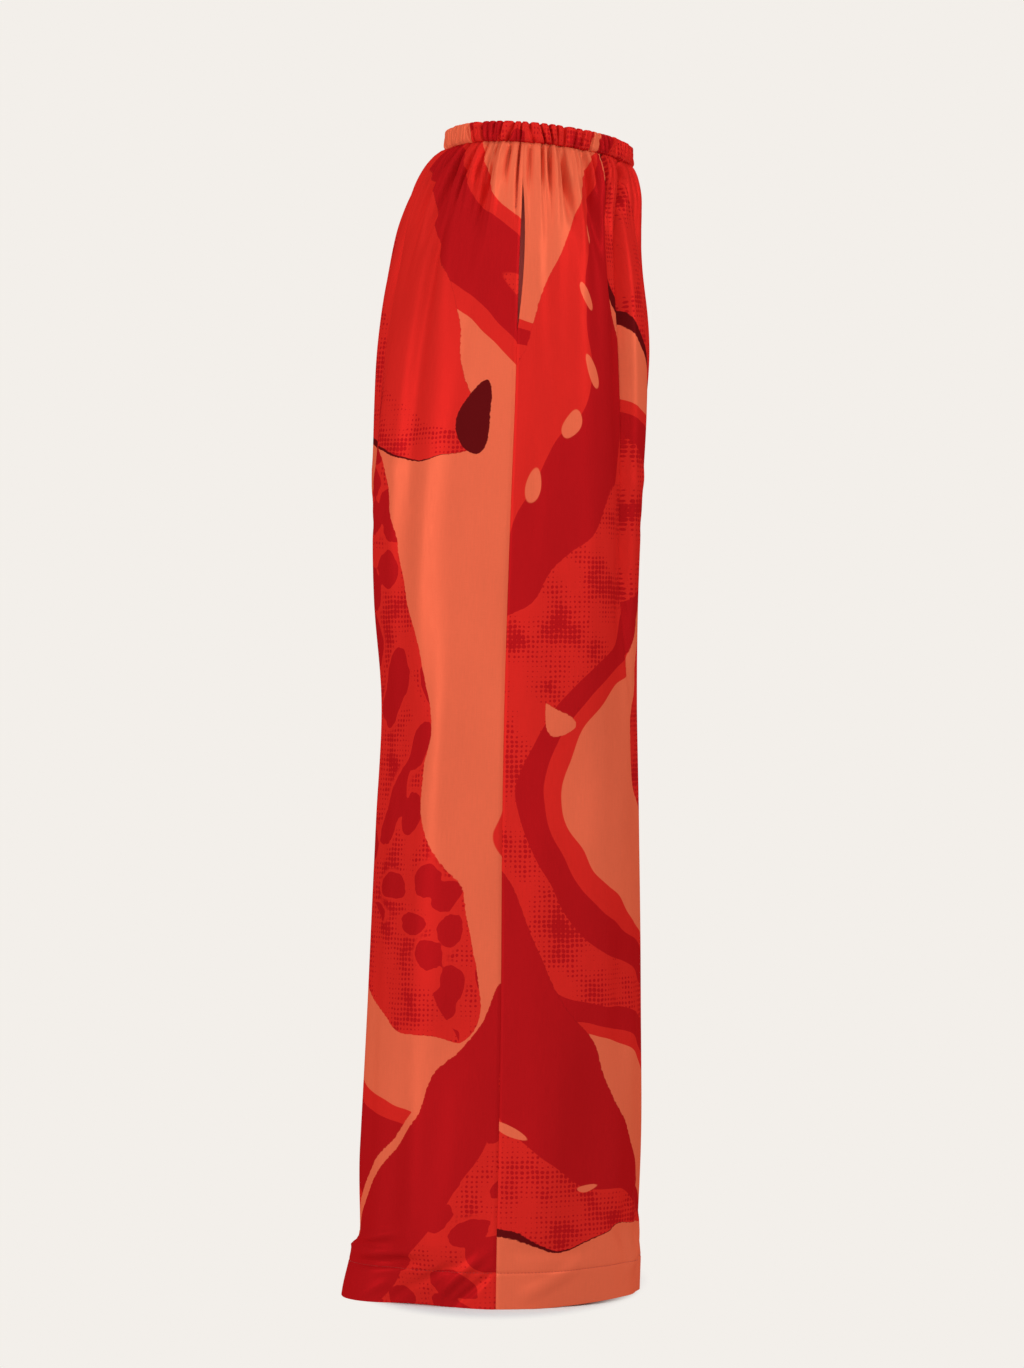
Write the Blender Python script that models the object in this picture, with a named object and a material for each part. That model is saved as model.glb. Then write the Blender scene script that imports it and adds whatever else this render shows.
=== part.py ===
"""Palazzo pants as worn: a gathered elastic waistband, two fronts, two backs, two side-seam pockets.

Metres, +Z up. The origin is the middle of the waistband, where the wearer's waist holds it.
The front faces -Y and the wearer's left is +X. "Drop" is a distance down from the origin and
"reach" a distance out from the plane between the legs, the same on both sides.
Every panel is a cloth wall lofted through level sections, and both legs share one table of them.
"""

import math

import bpy
import numpy as np

# Cloth
CLOTH = 0.002
SEAM_GAP = 0.0003
BAG_CLOTH = 0.001

# Waistband: a casing with the elastic inside
BAND_HEIGHT = 0.020
BAND_WALL = 0.0025
BAND_GATHERS = 76
POINTS_PER_GATHER = 4
BAND_WAVE = 0.0014
BAND_UNEVEN, BAND_BEAT = 0.3, 2.3  # how the gathers' depth varies round the band

# The band's section: height as a share of half the band, stand-off from the waist line, and how
# much of a gather's depth shows there. The inside, the last two rows, is plain.
BAND_COLUMNS = ("level", "out", "wave")
BAND_SECTION = (
    (-1.00, 0.0002, 0.35),
    (-0.72, 0.0014, 1.00),
    (0.00, 0.0020, 0.80),
    (0.74, 0.0014, 1.00),
    (1.00, -0.0002, 0.40),
    (0.96, -BAND_WALL, 0.00),
    (-1.00, -BAND_WALL, 0.00),
)

# Legs
CROTCH_DROP = 0.3105
HEM_DROP = 1.091
LEG_GAP = 0.006  # half the space between the legs, below the knee
LEG_GAP_OPENS = 0.25  # the drop below the crotch over which it opens
FORK_TOP = 0.0555  # the drop at which the seat begins to part into two legs
FORK_POWER = 3.0  # how late it parts
FORK_LEAST = 0.001

# The fullest line of each panel, as a share of the reach: it moves from beside the centre seam at
# the waist to the middle of the leg.
LINE_AT_WAIST, LINE_AT_LEG = 0.03, 0.50
LINE_SETTLES = 0.4855  # the drop at which it reaches the middle of the leg

# Sections of the garment. seam is where the side seam lies, back of the origin, and square is
# the exponent of the section's rounded shape: 2 is an ellipse.
SECTION_COLUMNS = ("drop", "outer", "front", "back", "seam", "square")
SECTIONS = (
    (0.0000, 0.1220, 0.0860, 0.0885, 0.014, 2.00),
    (0.0105, 0.1226, 0.0872, 0.0898, 0.015, 2.00),
    (0.0240, 0.1300, 0.0912, 0.1010, 0.016, 2.05),
    (0.0755, 0.1510, 0.0968, 0.1305, 0.018, 2.10),
    (0.1205, 0.1645, 0.1005, 0.1442, 0.020, 2.20),
    (0.1855, 0.1780, 0.1030, 0.1545, 0.022, 2.30),
    (0.2505, 0.1865, 0.1010, 0.1585, 0.024, 2.40),
    (0.3255, 0.1925, 0.0950, 0.1605, 0.027, 2.45),
    (0.4355, 0.1980, 0.0885, 0.1555, 0.031, 2.45),
    (0.5355, 0.2010, 0.0870, 0.1470, 0.034, 2.45),
    (0.6455, 0.2045, 0.0890, 0.1510, 0.036, 2.45),
    (0.7855, 0.2095, 0.0905, 0.1590, 0.037, 2.40),
    (0.9255, 0.2150, 0.0910, 0.1655, 0.039, 2.30),
    (1.0255, 0.2190, 0.0880, 0.1700, 0.041, 2.15),
    (1.0910, 0.2230, 0.0865, 0.1705, 0.042, 1.85),
)

# The waist edge is highest at the back and lowest at the front.
WAIST_BOW, WAIST_TILT = -0.0025, 0.0075
WAIST_LEVEL_DROP = 0.165
HEM_FRONT_LIFT = 0.004
HEM_LIFT_FROM = 1.0055
HEM_LIFT_DEPTH = 0.09

# Gathers of a panel, counted from the side seam to the centre
PANEL_GATHERS = 6
GATHER_DEPTH_COLUMNS = ("drop", "depth")
GATHER_DEPTHS = (
    (0.0095, 0.0010),
    (0.0205, 0.0026),
    (0.0365, 0.0034),
    (0.0595, 0.0030),
    (0.0945, 0.0020),
    (0.1445, 0.0010),
    (0.2095, 0.0004),
    (0.2945, 0.0000),
)
GATHER_UNEVEN, GATHER_BEAT, GATHER_SHIFT = 0.35, 2.55, 0.8  # how the depth varies across them
SEAM_CALM, CALM_DEPTH = 0.16, 0.15  # share of the width beside the side seam with shallow gathers

# Long folds. place and drift are shares of the width from the side seam to the centre, to the
# front if above 0 and to the back if below. drift is how far the fold has moved at the hem.
FOLD_COLUMNS = ("place", "drift", "top", "bottom", "half_width", "depth")
RIGHT_FOLDS = (
    (0.26, 0.05, 0.04, 0.62, 0.10, 0.0026),
    (0.46, -0.04, 0.03, 0.95, 0.10, -0.0040),
    (0.62, 0.04, 0.05, 1.20, 0.10, 0.0038),
    (0.84, 0.03, 0.02, 0.48, 0.12, -0.0110),
    (-0.20, -0.03, 0.10, 0.90, 0.10, 0.0022),
    (-0.38, 0.02, 0.05, 1.20, 0.09, -0.0034),
    (-0.52, -0.03, 0.12, 1.05, 0.08, 0.0044),
    (-0.70, 0.03, 0.06, 0.86, 0.10, -0.0056),
    (-0.92, -0.04, 0.34, 1.20, 0.10, 0.0040),
)
LEFT_FOLDS = (
    (0.22, 0.04, 0.06, 0.80, 0.10, -0.0024),
    (0.40, -0.03, 0.04, 1.20, 0.10, 0.0036),
    (0.70, 0.02, 0.01, 0.50, 0.12, -0.0060),
    (0.90, -0.05, 0.38, 1.20, 0.10, -0.0040),
    (-0.24, 0.03, 0.05, 0.70, 0.10, 0.0030),
    (-0.44, -0.02, 0.08, 1.20, 0.09, -0.0040),
    (-0.62, 0.02, 0.10, 1.20, 0.09, 0.0044),
    (-0.84, 0.02, 0.36, 1.00, 0.10, -0.0036),
)
FOLD_FADE = 0.10  # the drop over which a fold comes in and goes out

# The break where the hem meets the floor: a ledge all round the back, a soft one in front, and
# the slack taken up between the side seam and the back. The left leg breaks less.
LEDGE_TOP, LEDGE_BOTTOM = 1.0375, 1.0445
BREAK_COLUMNS = ("place", "half_width", "top", "bottom", "depth")
RIGHT_BREAKS = (
    (-0.60, 0.46, LEDGE_TOP, LEDGE_BOTTOM, 0.0080),
    (-0.56, 0.36, LEDGE_BOTTOM, HEM_DROP, 0.0100),
    (0.60, 0.42, 1.0275, 1.0575, 0.0046),
    (-0.26, 0.30, 1.0355, HEM_DROP, -0.0120),
)
LEFT_BREAKS = (
    (-0.60, 0.46, LEDGE_TOP, LEDGE_BOTTOM, 0.0020),
    (-0.56, 0.36, LEDGE_BOTTOM, HEM_DROP, 0.0060),
    (0.50, 0.42, 1.0275, 1.0575, 0.0046),
    (-0.26, 0.30, 1.0355, HEM_DROP, -0.0080),
)
SIDES = (("right", RIGHT_FOLDS, RIGHT_BREAKS), ("left", LEFT_FOLDS, LEFT_BREAKS))

# Side pocket: the slit in the seam and the bag behind it
SLIT_TOP, SLIT_BOTTOM = 0.0455, 0.1905
SLIT_GAPE = 0.008
BAG_TOP, BAG_BOTTOM = 0.030, 0.2875
BAG_NARROW = 0.30  # share of the bag's width lost to its rounded bottom
BAG_NARROW_FROM = 0.2055
BAG_HEM = 0.02  # the part of the bag this near the seam is sewn to it, and isn't narrowed

# The bag's folded sheet, seen from above: distance forward of the seam, depth behind the panel's
# outer face, and how far it gives way to the gathers.
BAG_COLUMNS = ("forward", "depth", "gives_way")
BAG_CHAIN = (
    (0.0010, 0.0029, 0.0),
    (0.0280, 0.0058, 1.0),
    (0.0700, 0.0066, 1.0),
    (0.1080, 0.0066, 1.0),
    (0.1130, 0.0084, 1.0),
    (0.1080, 0.0102, 1.0),
    (0.0700, 0.0102, 1.0),
    (0.0300, 0.0096, 1.0),
    (0.0060, 0.0062, 0.3),
    (-0.0110, 0.0036, 0.0),
)

# Rows of a panel: the stretches down it, each with its first and last drop, its number of steps
# and how much closer together they get towards its end
SEAT_DROP = 0.1205
CROTCH_MARGIN = 0.0006
ROW_COLUMNS = ("first", "last", "steps", "ease")
ROW_STRETCHES = (
    (BAND_HEIGHT / 2 + SEAM_GAP, SEAT_DROP, 5, 0.7),
    (SEAT_DROP, CROTCH_DROP - CROTCH_MARGIN, 8, 1.9),
    (CROTCH_DROP + 5 * CROTCH_MARGIN, LEDGE_TOP, 11, 1.0),
    (LEDGE_TOP, LEDGE_BOTTOM, 1, 1.0),
    (LEDGE_BOTTOM, HEM_DROP, 3, 1.0),
)
COLUMNS = PANEL_GATHERS * 4 + 1
SPREAD_FROM = 0.5  # share of the columns beyond which they spread out towards the inseam
BAG_ROWS = 10
FINE = 160  # points along a quarter of a section
NEAR = 0.0005  # the drop over which a slope is measured

CORAL = (0.80, 0.13, 0.05, 1)
VERMILION = (0.75, 0.03, 0.015, 1)
CRIMSON = (0.48, 0.008, 0.008, 1)


def table(columns, rows):
    """The table's columns by name, as arrays."""
    return dict(zip(columns, np.array(rows).T))


def smooth(x):
    """0 up to 0, 1 from 1 on, and an S between."""
    x = np.clip(x, 0, 1)
    return x * x * (3 - 2 * x)


def bump(x):
    """1 at 0, falling smoothly to nothing at -1 and 1."""
    x = np.clip(np.abs(x), 0, 1)
    return (1 + np.cos(math.pi * x)) / 2


def through(xs, ys, x):
    """A smooth curve through the points (xs, ys), read at x."""
    slopes = np.gradient(ys, xs)
    i = int(np.clip(np.searchsorted(xs, x) - 1, 0, len(xs) - 2))
    width = xs[i + 1] - xs[i]
    t = (x - xs[i]) / width
    return (
        ys[i] * (1 - t) ** 2 * (1 + 2 * t)
        + ys[i + 1] * t * t * (3 - 2 * t)
        + width * t * (1 - t) * (slopes[i] * (1 - t) - slopes[i + 1] * t)
    )


SECTION = table(SECTION_COLUMNS, SECTIONS)
GATHER = table(GATHER_DEPTH_COLUMNS, GATHER_DEPTHS)


def section(drop):
    """The section's sizes at a drop, by name."""
    return {name: through(SECTION["drop"], SECTION[name], drop) for name in SECTION_COLUMNS[1:]}


def fullest_line(drop, outer):
    """The reach at which the section is deepest."""
    share = smooth((drop - FORK_TOP) / (LINE_SETTLES - FORK_TOP))
    return outer * (LINE_AT_WAIST + (LINE_AT_LEG - LINE_AT_WAIST) * share)


def fork(drop):
    """How far the inner sides have come together: 0 at the waist, 1 at the crotch."""
    share = (drop - FORK_TOP) / (CROTCH_DROP - FORK_TOP)
    return max(FORK_LEAST, share) ** FORK_POWER


def widths(drop, outer):
    """Widths of a leg's loop out and in from its fullest line, and the line's reach."""
    line = fullest_line(drop, outer)
    if drop < CROTCH_DROP:
        return outer - line, line / fork(drop), line
    gap = SEAM_GAP + LEG_GAP * smooth((drop - CROTCH_DROP) / LEG_GAP_OPENS)
    return outer - line, line - gap, line


def height(drop, y):
    """z of a point at a drop: level, but for the waist's edge and the front of the hem."""
    share = y / SECTION["back"][0]
    level = smooth((drop - BAND_HEIGHT) / (WAIST_LEVEL_DROP - BAND_HEIGHT))
    waist = (WAIST_BOW * share**2 + WAIST_TILT * share) * (1 - level)
    down = smooth((drop - HEM_LIFT_FROM) / (HEM_DROP - HEM_LIFT_FROM))
    return -drop + waist + HEM_FRONT_LIFT * down * smooth(-y / HEM_LIFT_DEPTH)


def half_loop(turn, drop, way):
    """Points (reach, y, z) of a leg's loop at these turns from the side seam, round the front if
    way is -1 or the back if it is 1."""
    size = section(drop)
    out, into, line = widths(drop, size["outer"])
    deep = size["seam"] + size["front"] if way < 0 else size["back"] - size["seam"]
    cos, sin = np.cos(turn), np.sin(turn)
    power = 2 / size["square"]
    reach = line + np.where(cos > 0, out, -into) * np.abs(cos) ** power
    y = size["seam"] + way * deep * np.abs(sin) ** power
    return np.column_stack([reach, y, height(drop, y)])


def loop_turns(drop):
    """Turns from the side seam to where a leg's loop reaches the centre seam, or the inseam."""
    last = math.pi
    if drop < CROTCH_DROP:
        last = math.acos(-(fork(drop) ** (section(drop)["square"] / 2)))
    outside = np.linspace(0, math.pi / 2, FINE)
    return np.concatenate([outside, np.linspace(math.pi / 2, last, FINE // 2)[1:]])


def unit(vectors):
    return vectors / np.linalg.norm(vectors, axis=-1, keepdims=True)


def leg_line(drop):
    """One side's section, from the back's inner edge over the side seam to the front's: each
    point's distance forward of the side seam, the points, and the ways out from them."""
    turn = loop_turns(drop)

    def line(level):
        return np.concatenate([half_loop(turn, level, 1)[:0:-1], half_loop(turn, level, -1)])

    points = line(drop)
    across = np.gradient(points, axis=0)
    if drop > CROTCH_DROP:
        across[0] = across[-1] = points[1] - points[-2]
    down = line(drop + NEAR) - line(drop - NEAR)
    steps = np.linalg.norm(np.diff(points, axis=0), axis=1)
    distance = np.concatenate([[0], np.cumsum(steps)])
    return distance - distance[len(turn) - 1], points, unit(np.cross(across, down))


def read(places, distance, values):
    """The values along a line, read at these distances."""
    return np.stack([np.interp(places, distance, values[:, k]) for k in range(3)], axis=1)


def hang_width(drop, way):
    """The width over which a panel's folds are spread: round to the centre, as with no fork."""
    size = section(drop)
    line = fullest_line(drop, size["outer"])
    deep = size["seam"] + size["front"] if way < 0 else size["back"] - size["seam"]
    turn = np.linspace(0, math.pi / 2, FINE)
    power = 2 / size["square"]
    out = (size["outer"] - line) * np.cos(turn) ** power
    curve = np.column_stack([out, deep * np.sin(turn) ** power])
    return line + float(np.linalg.norm(np.diff(curve, axis=0), axis=1).sum())


def hang_share(distance, drop):
    """Distances forward of the side seam as shares of the width the folds are spread over."""
    return np.where(distance > 0, distance / hang_width(drop, -1), distance / hang_width(drop, 1))


def gather_wave(share, drop):
    """How far the gathers push the cloth out."""
    depth = np.interp(drop, GATHER["drop"], GATHER["depth"])
    uneven = 1 + GATHER_UNEVEN * np.sin(2 * math.pi * GATHER_BEAT * share + GATHER_SHIFT)
    calm = CALM_DEPTH + (1 - CALM_DEPTH) * smooth(np.abs(share) / SEAM_CALM)
    return depth * uneven * calm * np.sin(2 * math.pi * PANEL_GATHERS * share)


def fold_depth(share, drop, folds):
    """How far the long folds push the cloth out."""
    found = np.zeros_like(share)
    for row in folds:
        fold = dict(zip(FOLD_COLUMNS, row))
        place = fold["place"] + fold["drift"] * drop / HEM_DROP
        fades = smooth((drop - fold["top"]) / FOLD_FADE) * smooth((fold["bottom"] - drop) / FOLD_FADE)
        found += fold["depth"] * fades * bump((share - place) / fold["half_width"])
    return found


def break_depth(share, drop, breaks):
    """How far the cloth stands out where it meets the floor."""
    found = np.zeros_like(share)
    for row in breaks:
        ledge = dict(zip(BREAK_COLUMNS, row))
        rise = smooth((drop - ledge["top"]) / (ledge["bottom"] - ledge["top"]))
        found += ledge["depth"] * rise * bump((share - ledge["place"]) / ledge["half_width"])
    return found


def row_drops():
    """The drops of a panel's rows."""
    drops = []
    for row in ROW_STRETCHES:
        stretch = dict(zip(ROW_COLUMNS, row))
        left = (1 - np.arange(stretch["steps"] + 1) / stretch["steps"]) ** stretch["ease"]
        drops.extend(stretch["last"] + (stretch["first"] - stretch["last"]) * left)
    return [drop for k, drop in enumerate(drops) if k == 0 or drop > drops[k - 1]]


def column_places(drop, length, way):
    """Distances of a panel's columns from the side seam. Those near the inner edge spread out to
    reach round to the inseam."""
    shares = np.linspace(0, 1, COLUMNS)
    width = hang_width(drop, way)
    spread = np.maximum(0, (shares - SPREAD_FROM) / (1 - SPREAD_FROM)) ** 2
    return shares * width + (length - width) * spread


def leg_grid(drops, folds, breaks):
    """Outer and inner points of one side of the garment, a row for each drop, with columns from
    the back's inner edge over the side seam to the front's."""
    outer, inner = [], []
    for drop in drops:
        distance, points, normals = leg_line(drop)
        back = column_places(drop, -distance[0], 1)
        places = np.concatenate([-back[:0:-1], column_places(drop, distance[-1], -1)])
        share = hang_share(places, drop)
        push = gather_wave(share, drop) + fold_depth(share, drop, folds)
        push += break_depth(share, drop, breaks)
        here = read(places, distance, points)
        out = read(places, distance, normals)
        if drop < CROTCH_DROP:
            out[[0, -1], 0] = 0
        out = unit(out)
        outside = here + push[:, None] * out
        inside = outside - CLOTH * out
        if drop in (drops[0], drops[-1]):
            outside[:, 2] = inside[:, 2] = here[:, 2]
        if drop < CROTCH_DROP:
            outside[[0, -1], 0] = inside[[0, -1], 0] = SEAM_GAP / 2
        outer.append(outside)
        inner.append(inside)
    outer, inner = np.array(outer), np.array(inner)
    for grid in (outer, inner):
        grid[:, :, 0] = np.maximum(grid[:, :, 0], SEAM_GAP / 2)
    return outer, inner


def slit_gape(drop):
    """How far forward of the side seam the pocket's edge hangs open."""
    share = np.clip((drop - SLIT_TOP) / (SLIT_BOTTOM - SLIT_TOP), 0, 1)
    return SLIT_GAPE * np.sin(math.pi * share)


def moved_edge(grid, column, inward, distances):
    """A copy of a grid whose edge column is moved along its rows, towards column inward."""
    moved = grid.copy()
    moved[:, column] += unit(grid[:, inward] - grid[:, column]) * distances[:, None]
    return moved


def panel(grids, drops, front):
    """The front or the back of one side, its edges drawn back from the seams."""
    middle = COLUMNS - 1
    drops = np.array(drops)
    seam = np.full(len(drops), SEAM_GAP / 2)
    below = np.where(drops > CROTCH_DROP, SEAM_GAP / 2, 0.0)
    cut = []
    for grid in grids:
        if front:
            part = grid[:, middle:]
            part = moved_edge(part, 0, 1, seam + slit_gape(drops))
            part = moved_edge(part, -1, -2, below)
        else:
            part = grid[:, : middle + 1]
            part = moved_edge(part, -1, -2, seam)
            part = moved_edge(part, 0, 1, below)
        cut.append(part)
    return cut


def bag_faces(forward, depth):
    """The two faces of the bag's sheet, as (forward, depth) to either side of its middle line."""
    run = unit(np.column_stack([np.gradient(forward), np.gradient(depth)]))
    shift = BAG_CLOTH / 2 * np.column_stack([run[:, 1], -run[:, 0]])
    return [(forward + way * shift[:, 0], depth + way * shift[:, 1]) for way in (1, -1)]


def pocket_grids(folds):
    """Outside and inside faces of a pocket bag's folded sheet."""
    chain = table(BAG_COLUMNS, BAG_CHAIN)
    grids = ([], [])
    for drop in np.linspace(BAG_TOP, BAG_BOTTOM, BAG_ROWS):
        narrow = 1 - BAG_NARROW * smooth((drop - BAG_NARROW_FROM) / (BAG_BOTTOM - BAG_NARROW_FROM))
        middle = np.where(chain["forward"] > BAG_HEM, chain["forward"] * narrow, chain["forward"])
        middle[0] += slit_gape(drop)
        distance, points, normals = leg_line(drop)
        room = chain["gives_way"] * np.interp(drop, GATHER["drop"], GATHER["depth"])
        for grid, (forward, depth) in zip(grids, bag_faces(middle, chain["depth"])):
            here = read(forward, distance, points)
            out = unit(read(forward, distance, normals))
            troughs = np.minimum(fold_depth(hang_share(forward, drop), drop, folds), 0)
            grid.append(here - out * (depth + room - troughs)[:, None])
    return np.array(grids[0]), np.array(grids[1])


def ring_quads(rows, columns, start):
    """Quads of a grid whose rows run down and columns run to the left, seen from outside."""
    quads = []
    for row in range(rows - 1):
        for column in range(columns - 1):
            a = start + row * columns + column
            quads.append((a, a + 1, a + 1 + columns, a + columns))
    return quads


def wall_mesh(outer, inner, mirrored):
    """A closed wall between two grids of the same shape, given in reach, y and z."""
    rows, columns, _ = outer.shape
    count = rows * columns
    points = np.concatenate([outer.reshape(-1, 3), inner.reshape(-1, 3)])
    faces = ring_quads(rows, columns, 0)
    faces += [quad[::-1] for quad in ring_quads(rows, columns, count)]
    top = list(range(columns))
    bottom = [(rows - 1) * columns + column for column in range(columns)]
    first = [row * columns for row in range(rows)]
    last = [row * columns + columns - 1 for row in range(rows)]
    rim = bottom + last[-2::-1] + top[-2::-1] + first[1:-1]
    for a, b in zip(rim, rim[1:] + rim[:1]):
        faces.append((a, b, b + count, a + count))
    if mirrored:
        points[:, 0] *= -1
        faces = [face[::-1] for face in faces]
    return points, faces


def waist_ring():
    """Evenly spaced points (x, y) round the waist, from the centre back over the left side, and
    the way out from each."""
    left = leg_line(0.0)[1][:, :2]
    whole = np.concatenate([left, left[-2:0:-1] * (-1, 1), left[:1]])
    length = np.concatenate([[0], np.cumsum(np.linalg.norm(np.diff(whole, axis=0), axis=1))])
    count = BAND_GATHERS * POINTS_PER_GATHER
    places = np.arange(count) * length[-1] / count
    ring = np.column_stack([np.interp(places, length, whole[:, k]) for k in range(2)])
    ahead = np.roll(ring, -1, axis=0) - np.roll(ring, 1, axis=0)
    return ring, unit(np.column_stack([-ahead[:, 1], ahead[:, 0]]))


def band_mesh():
    """The waistband: a closed ring with a gathered outer face."""
    ring, out = waist_ring()
    count = len(ring)
    gather = np.arange(count) / POINTS_PER_GATHER
    uneven = 1 + BAND_UNEVEN * np.sin(gather * BAND_BEAT)
    wave = BAND_WAVE * uneven * np.cos(2 * math.pi * gather)
    points = []
    for row in BAND_SECTION:
        place = dict(zip(BAND_COLUMNS, row))
        flat = ring + out * (place["out"] + place["wave"] * wave)[:, None]
        level = place["level"] * BAND_HEIGHT / 2
        points.append(np.column_stack([flat, level + height(0.0, ring[:, 1])]))
    faces = []
    around = len(BAND_SECTION)
    for k in range(around):
        for i in range(count):
            j = (i + 1) % count
            low, high = k * count, (k + 1) % around * count
            faces.append((low + i, low + j, high + j, high + i))
    return np.concatenate(points), [face[::-1] for face in faces]


def material(name, colour, roughness):
    made = bpy.data.materials.new(name)
    made.use_nodes = True
    shader = made.node_tree.nodes["Principled BSDF"]
    shader.inputs["Base Color"].default_value = colour
    shader.inputs["Roughness"].default_value = roughness
    shader.inputs["Metallic"].default_value = 0.0
    return made


def add_piece(name, points, faces, finish, parent, collection):
    mesh = bpy.data.meshes.new(name)
    mesh.from_pydata(points.tolist(), [], faces)
    mesh.validate()
    mesh.shade_smooth()
    mesh.materials.append(finish)
    piece = bpy.data.objects.new(name, mesh)
    piece.parent = parent
    collection.objects.link(piece)
    return piece


def clear_scene():
    for obj in list(bpy.data.objects):
        bpy.data.objects.remove(obj)


def build():
    clear_scene()
    collection = bpy.data.collections.new("palazzo_pants")
    bpy.context.scene.collection.children.link(collection)
    waist = bpy.data.objects.new("waist", None)
    collection.objects.link(waist)
    finishes = {
        "front": material("front_satin", VERMILION, 0.42),
        "back": material("back_satin", CORAL, 0.42),
        "waistband": material("waistband_satin", CRIMSON, 0.45),
        "pocket": material("pocket_satin", VERMILION, 0.55),
    }
    add_piece("waistband", *band_mesh(), finishes["waistband"], waist, collection)
    for side, folds, breaks in SIDES:
        mirrored = side == "right"
        drops = row_drops()
        grids = leg_grid(drops, folds, breaks)
        for part in ("front", "back"):
            outer, inner = panel(grids, drops, part == "front")
            mesh = wall_mesh(outer, inner, mirrored)
            add_piece(f"{part}_{side}", *mesh, finishes[part], waist, collection)
        bag = wall_mesh(*pocket_grids(folds), mirrored)
        add_piece(f"pocket_{side}", *bag, finishes["pocket"], waist, collection)


build()
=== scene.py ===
"""The looks of a pair of palazzo pants, built round the packed frame.

Metres, +Z up. The origin is the middle of the waistband. The front faces -Y, the wearer's left is
+X. "Drop" is a distance down from the origin, "reach" one out from the plane between the legs, and
"share" a part of a panel's width from the side seam, above 0 to the front and below 0 to the back.
The form repeats the frame's own sections and folds, on finer grids, and adds what is too fine for it.
"""

import math
from functools import partialmethod
from types import SimpleNamespace

import bpy
import numpy as np
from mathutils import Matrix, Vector


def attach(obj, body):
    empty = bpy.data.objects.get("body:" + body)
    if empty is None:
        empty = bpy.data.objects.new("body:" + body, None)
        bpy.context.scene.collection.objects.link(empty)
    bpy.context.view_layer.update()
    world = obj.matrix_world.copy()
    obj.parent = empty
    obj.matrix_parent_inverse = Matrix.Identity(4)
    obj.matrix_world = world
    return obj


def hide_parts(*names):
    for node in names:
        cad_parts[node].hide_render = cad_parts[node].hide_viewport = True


# Cloth
CLOTH = 0.0006
HEM_CLOTH = 0.0015  # the hem is turned up twice
HEM_DEPTH = 0.033
SEAM_MEET = 0.00002  # half the space between the panels at a seam
SEAM_SINK, SEAM_WIDTH = 0.0011, 0.0032  # the valley along a seam

# Waistband
BAND_HEIGHT = 0.02
BAND_GATHERS = 76
BAND_GATHER_POINTS = 12
BAND_RIDGE, BAND_VALLEY = 0.0014, 0.005  # how far a gather stands out and dips in
BAND_SPLIT = 0.002  # the depth of the small valley that parts some gathers
BAND_DEEPEST = 0.0066
BAND_SHARP = 2.8  # how narrow the valleys are
BAND_RUFFLE = 0.0007  # how much the top edge rises and falls
BAND_SECTION = (  # level, stand-off from the waist line, and share of the gathers
    (-1, -0.0008, 0.42),
    (-0.96, 0.0006, 0.62),
    (-0.86, 0.0014, 0.88),
    (-0.6, 0.0021, 1),
    (-0.2, 0.0023, 0.92),
    (0.25, 0.0023, 0.92),
    (0.65, 0.002, 1),
    (0.85, 0.0013, 0.95),
    (0.93, 0.0003, 0.75),
    (0.96, -0.0007, 0.6),
    (0.92, -0.0017, 0.5),
    (0.82, -0.0023, 0.4),
    (0.3, -0.0026, 0.35),
    (-0.4, -0.0026, 0.35),
    (-0.9, -0.0024, 0.4),
    (-1, -0.0017, 0.4),
)
BAND_ROUND = 3  # points made between two rows of the section
BAND_FULLNESS = 1.45  # the cloth's length round, over the gathered length
# Waves round it, as size, turns and phase. Those of BAND_TWISTS are times the level.
BAND_SLIPS = ((1.4, 11, 0.4), (0.9, 23, 1.9), (0.5, 37, 3.1))  # how unevenly the gathers are spaced
# How uneven the gathers' depth is, round it and between its edges
BAND_SIZES = ((-0.25, 9, 1.0), (-0.22, 17, 2.2), (0.16, 29, 0.0))
BAND_TWISTS = ((0.3, 21, 2.4), (0.22, 34, -3.0))
BAND_LEAN = (0.3, 9, 0.7)  # how far, in gathers, one leans between the band's edges
SPLIT_PLACES = (1.6, 31, 2.0)  # where some gathers are parted
SPLIT_SHARP = 6.0  # how narrow their small valleys are
SPLIT_LEAN, SPLIT_MORE = 0.8, 0.2  # how they lean and deepen with the level

# Legs
CROTCH_DROP = 0.3105
HEM_DROP = 1.091
LEG_GAP = 0.006
LEG_GAP_OPENS = 0.25
SEAM_GAP = 0.0003
FORK_TOP = 0.0555
FORK_POWER = 3.0
FORK_LEAST = 0.001
LINE_AT_WAIST, LINE_AT_LEG = 0.03, 0.5
LINE_SETTLES = 0.4855
SECTION_COLUMNS = ("drop", "outer", "front", "back", "seam", "square")
SECTIONS = (
    (0, 0.122, 0.086, 0.0885, 0.014, 2),
    (0.0105, 0.1226, 0.0872, 0.0898, 0.015, 2),
    (0.024, 0.13, 0.0912, 0.101, 0.016, 2.05),
    (0.0755, 0.151, 0.0968, 0.1305, 0.018, 2.1),
    (0.1205, 0.1645, 0.1005, 0.1442, 0.02, 2.2),
    (0.1855, 0.178, 0.103, 0.1545, 0.022, 2.3),
    (0.2505, 0.1865, 0.101, 0.1585, 0.024, 2.4),
    (0.3255, 0.1925, 0.095, 0.1605, 0.027, 2.45),
    (0.4355, 0.198, 0.0885, 0.1555, 0.031, 2.45),
    (0.5355, 0.201, 0.087, 0.147, 0.034, 2.45),
    (0.6455, 0.2045, 0.089, 0.151, 0.036, 2.45),
    (0.7855, 0.2095, 0.0905, 0.159, 0.037, 2.4),
    (0.9255, 0.215, 0.091, 0.1655, 0.039, 2.3),
    (1.0255, 0.219, 0.088, 0.17, 0.041, 2.15),
    (1.091, 0.223, 0.0865, 0.1705, 0.042, 1.85),
)
WAIST_BOW, WAIST_TILT = -0.0025, 0.0075
WAIST_LEVEL_DROP = 0.165
HEM_FRONT_LIFT = 0.004
HEM_LIFT_FROM = 1.0055
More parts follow.
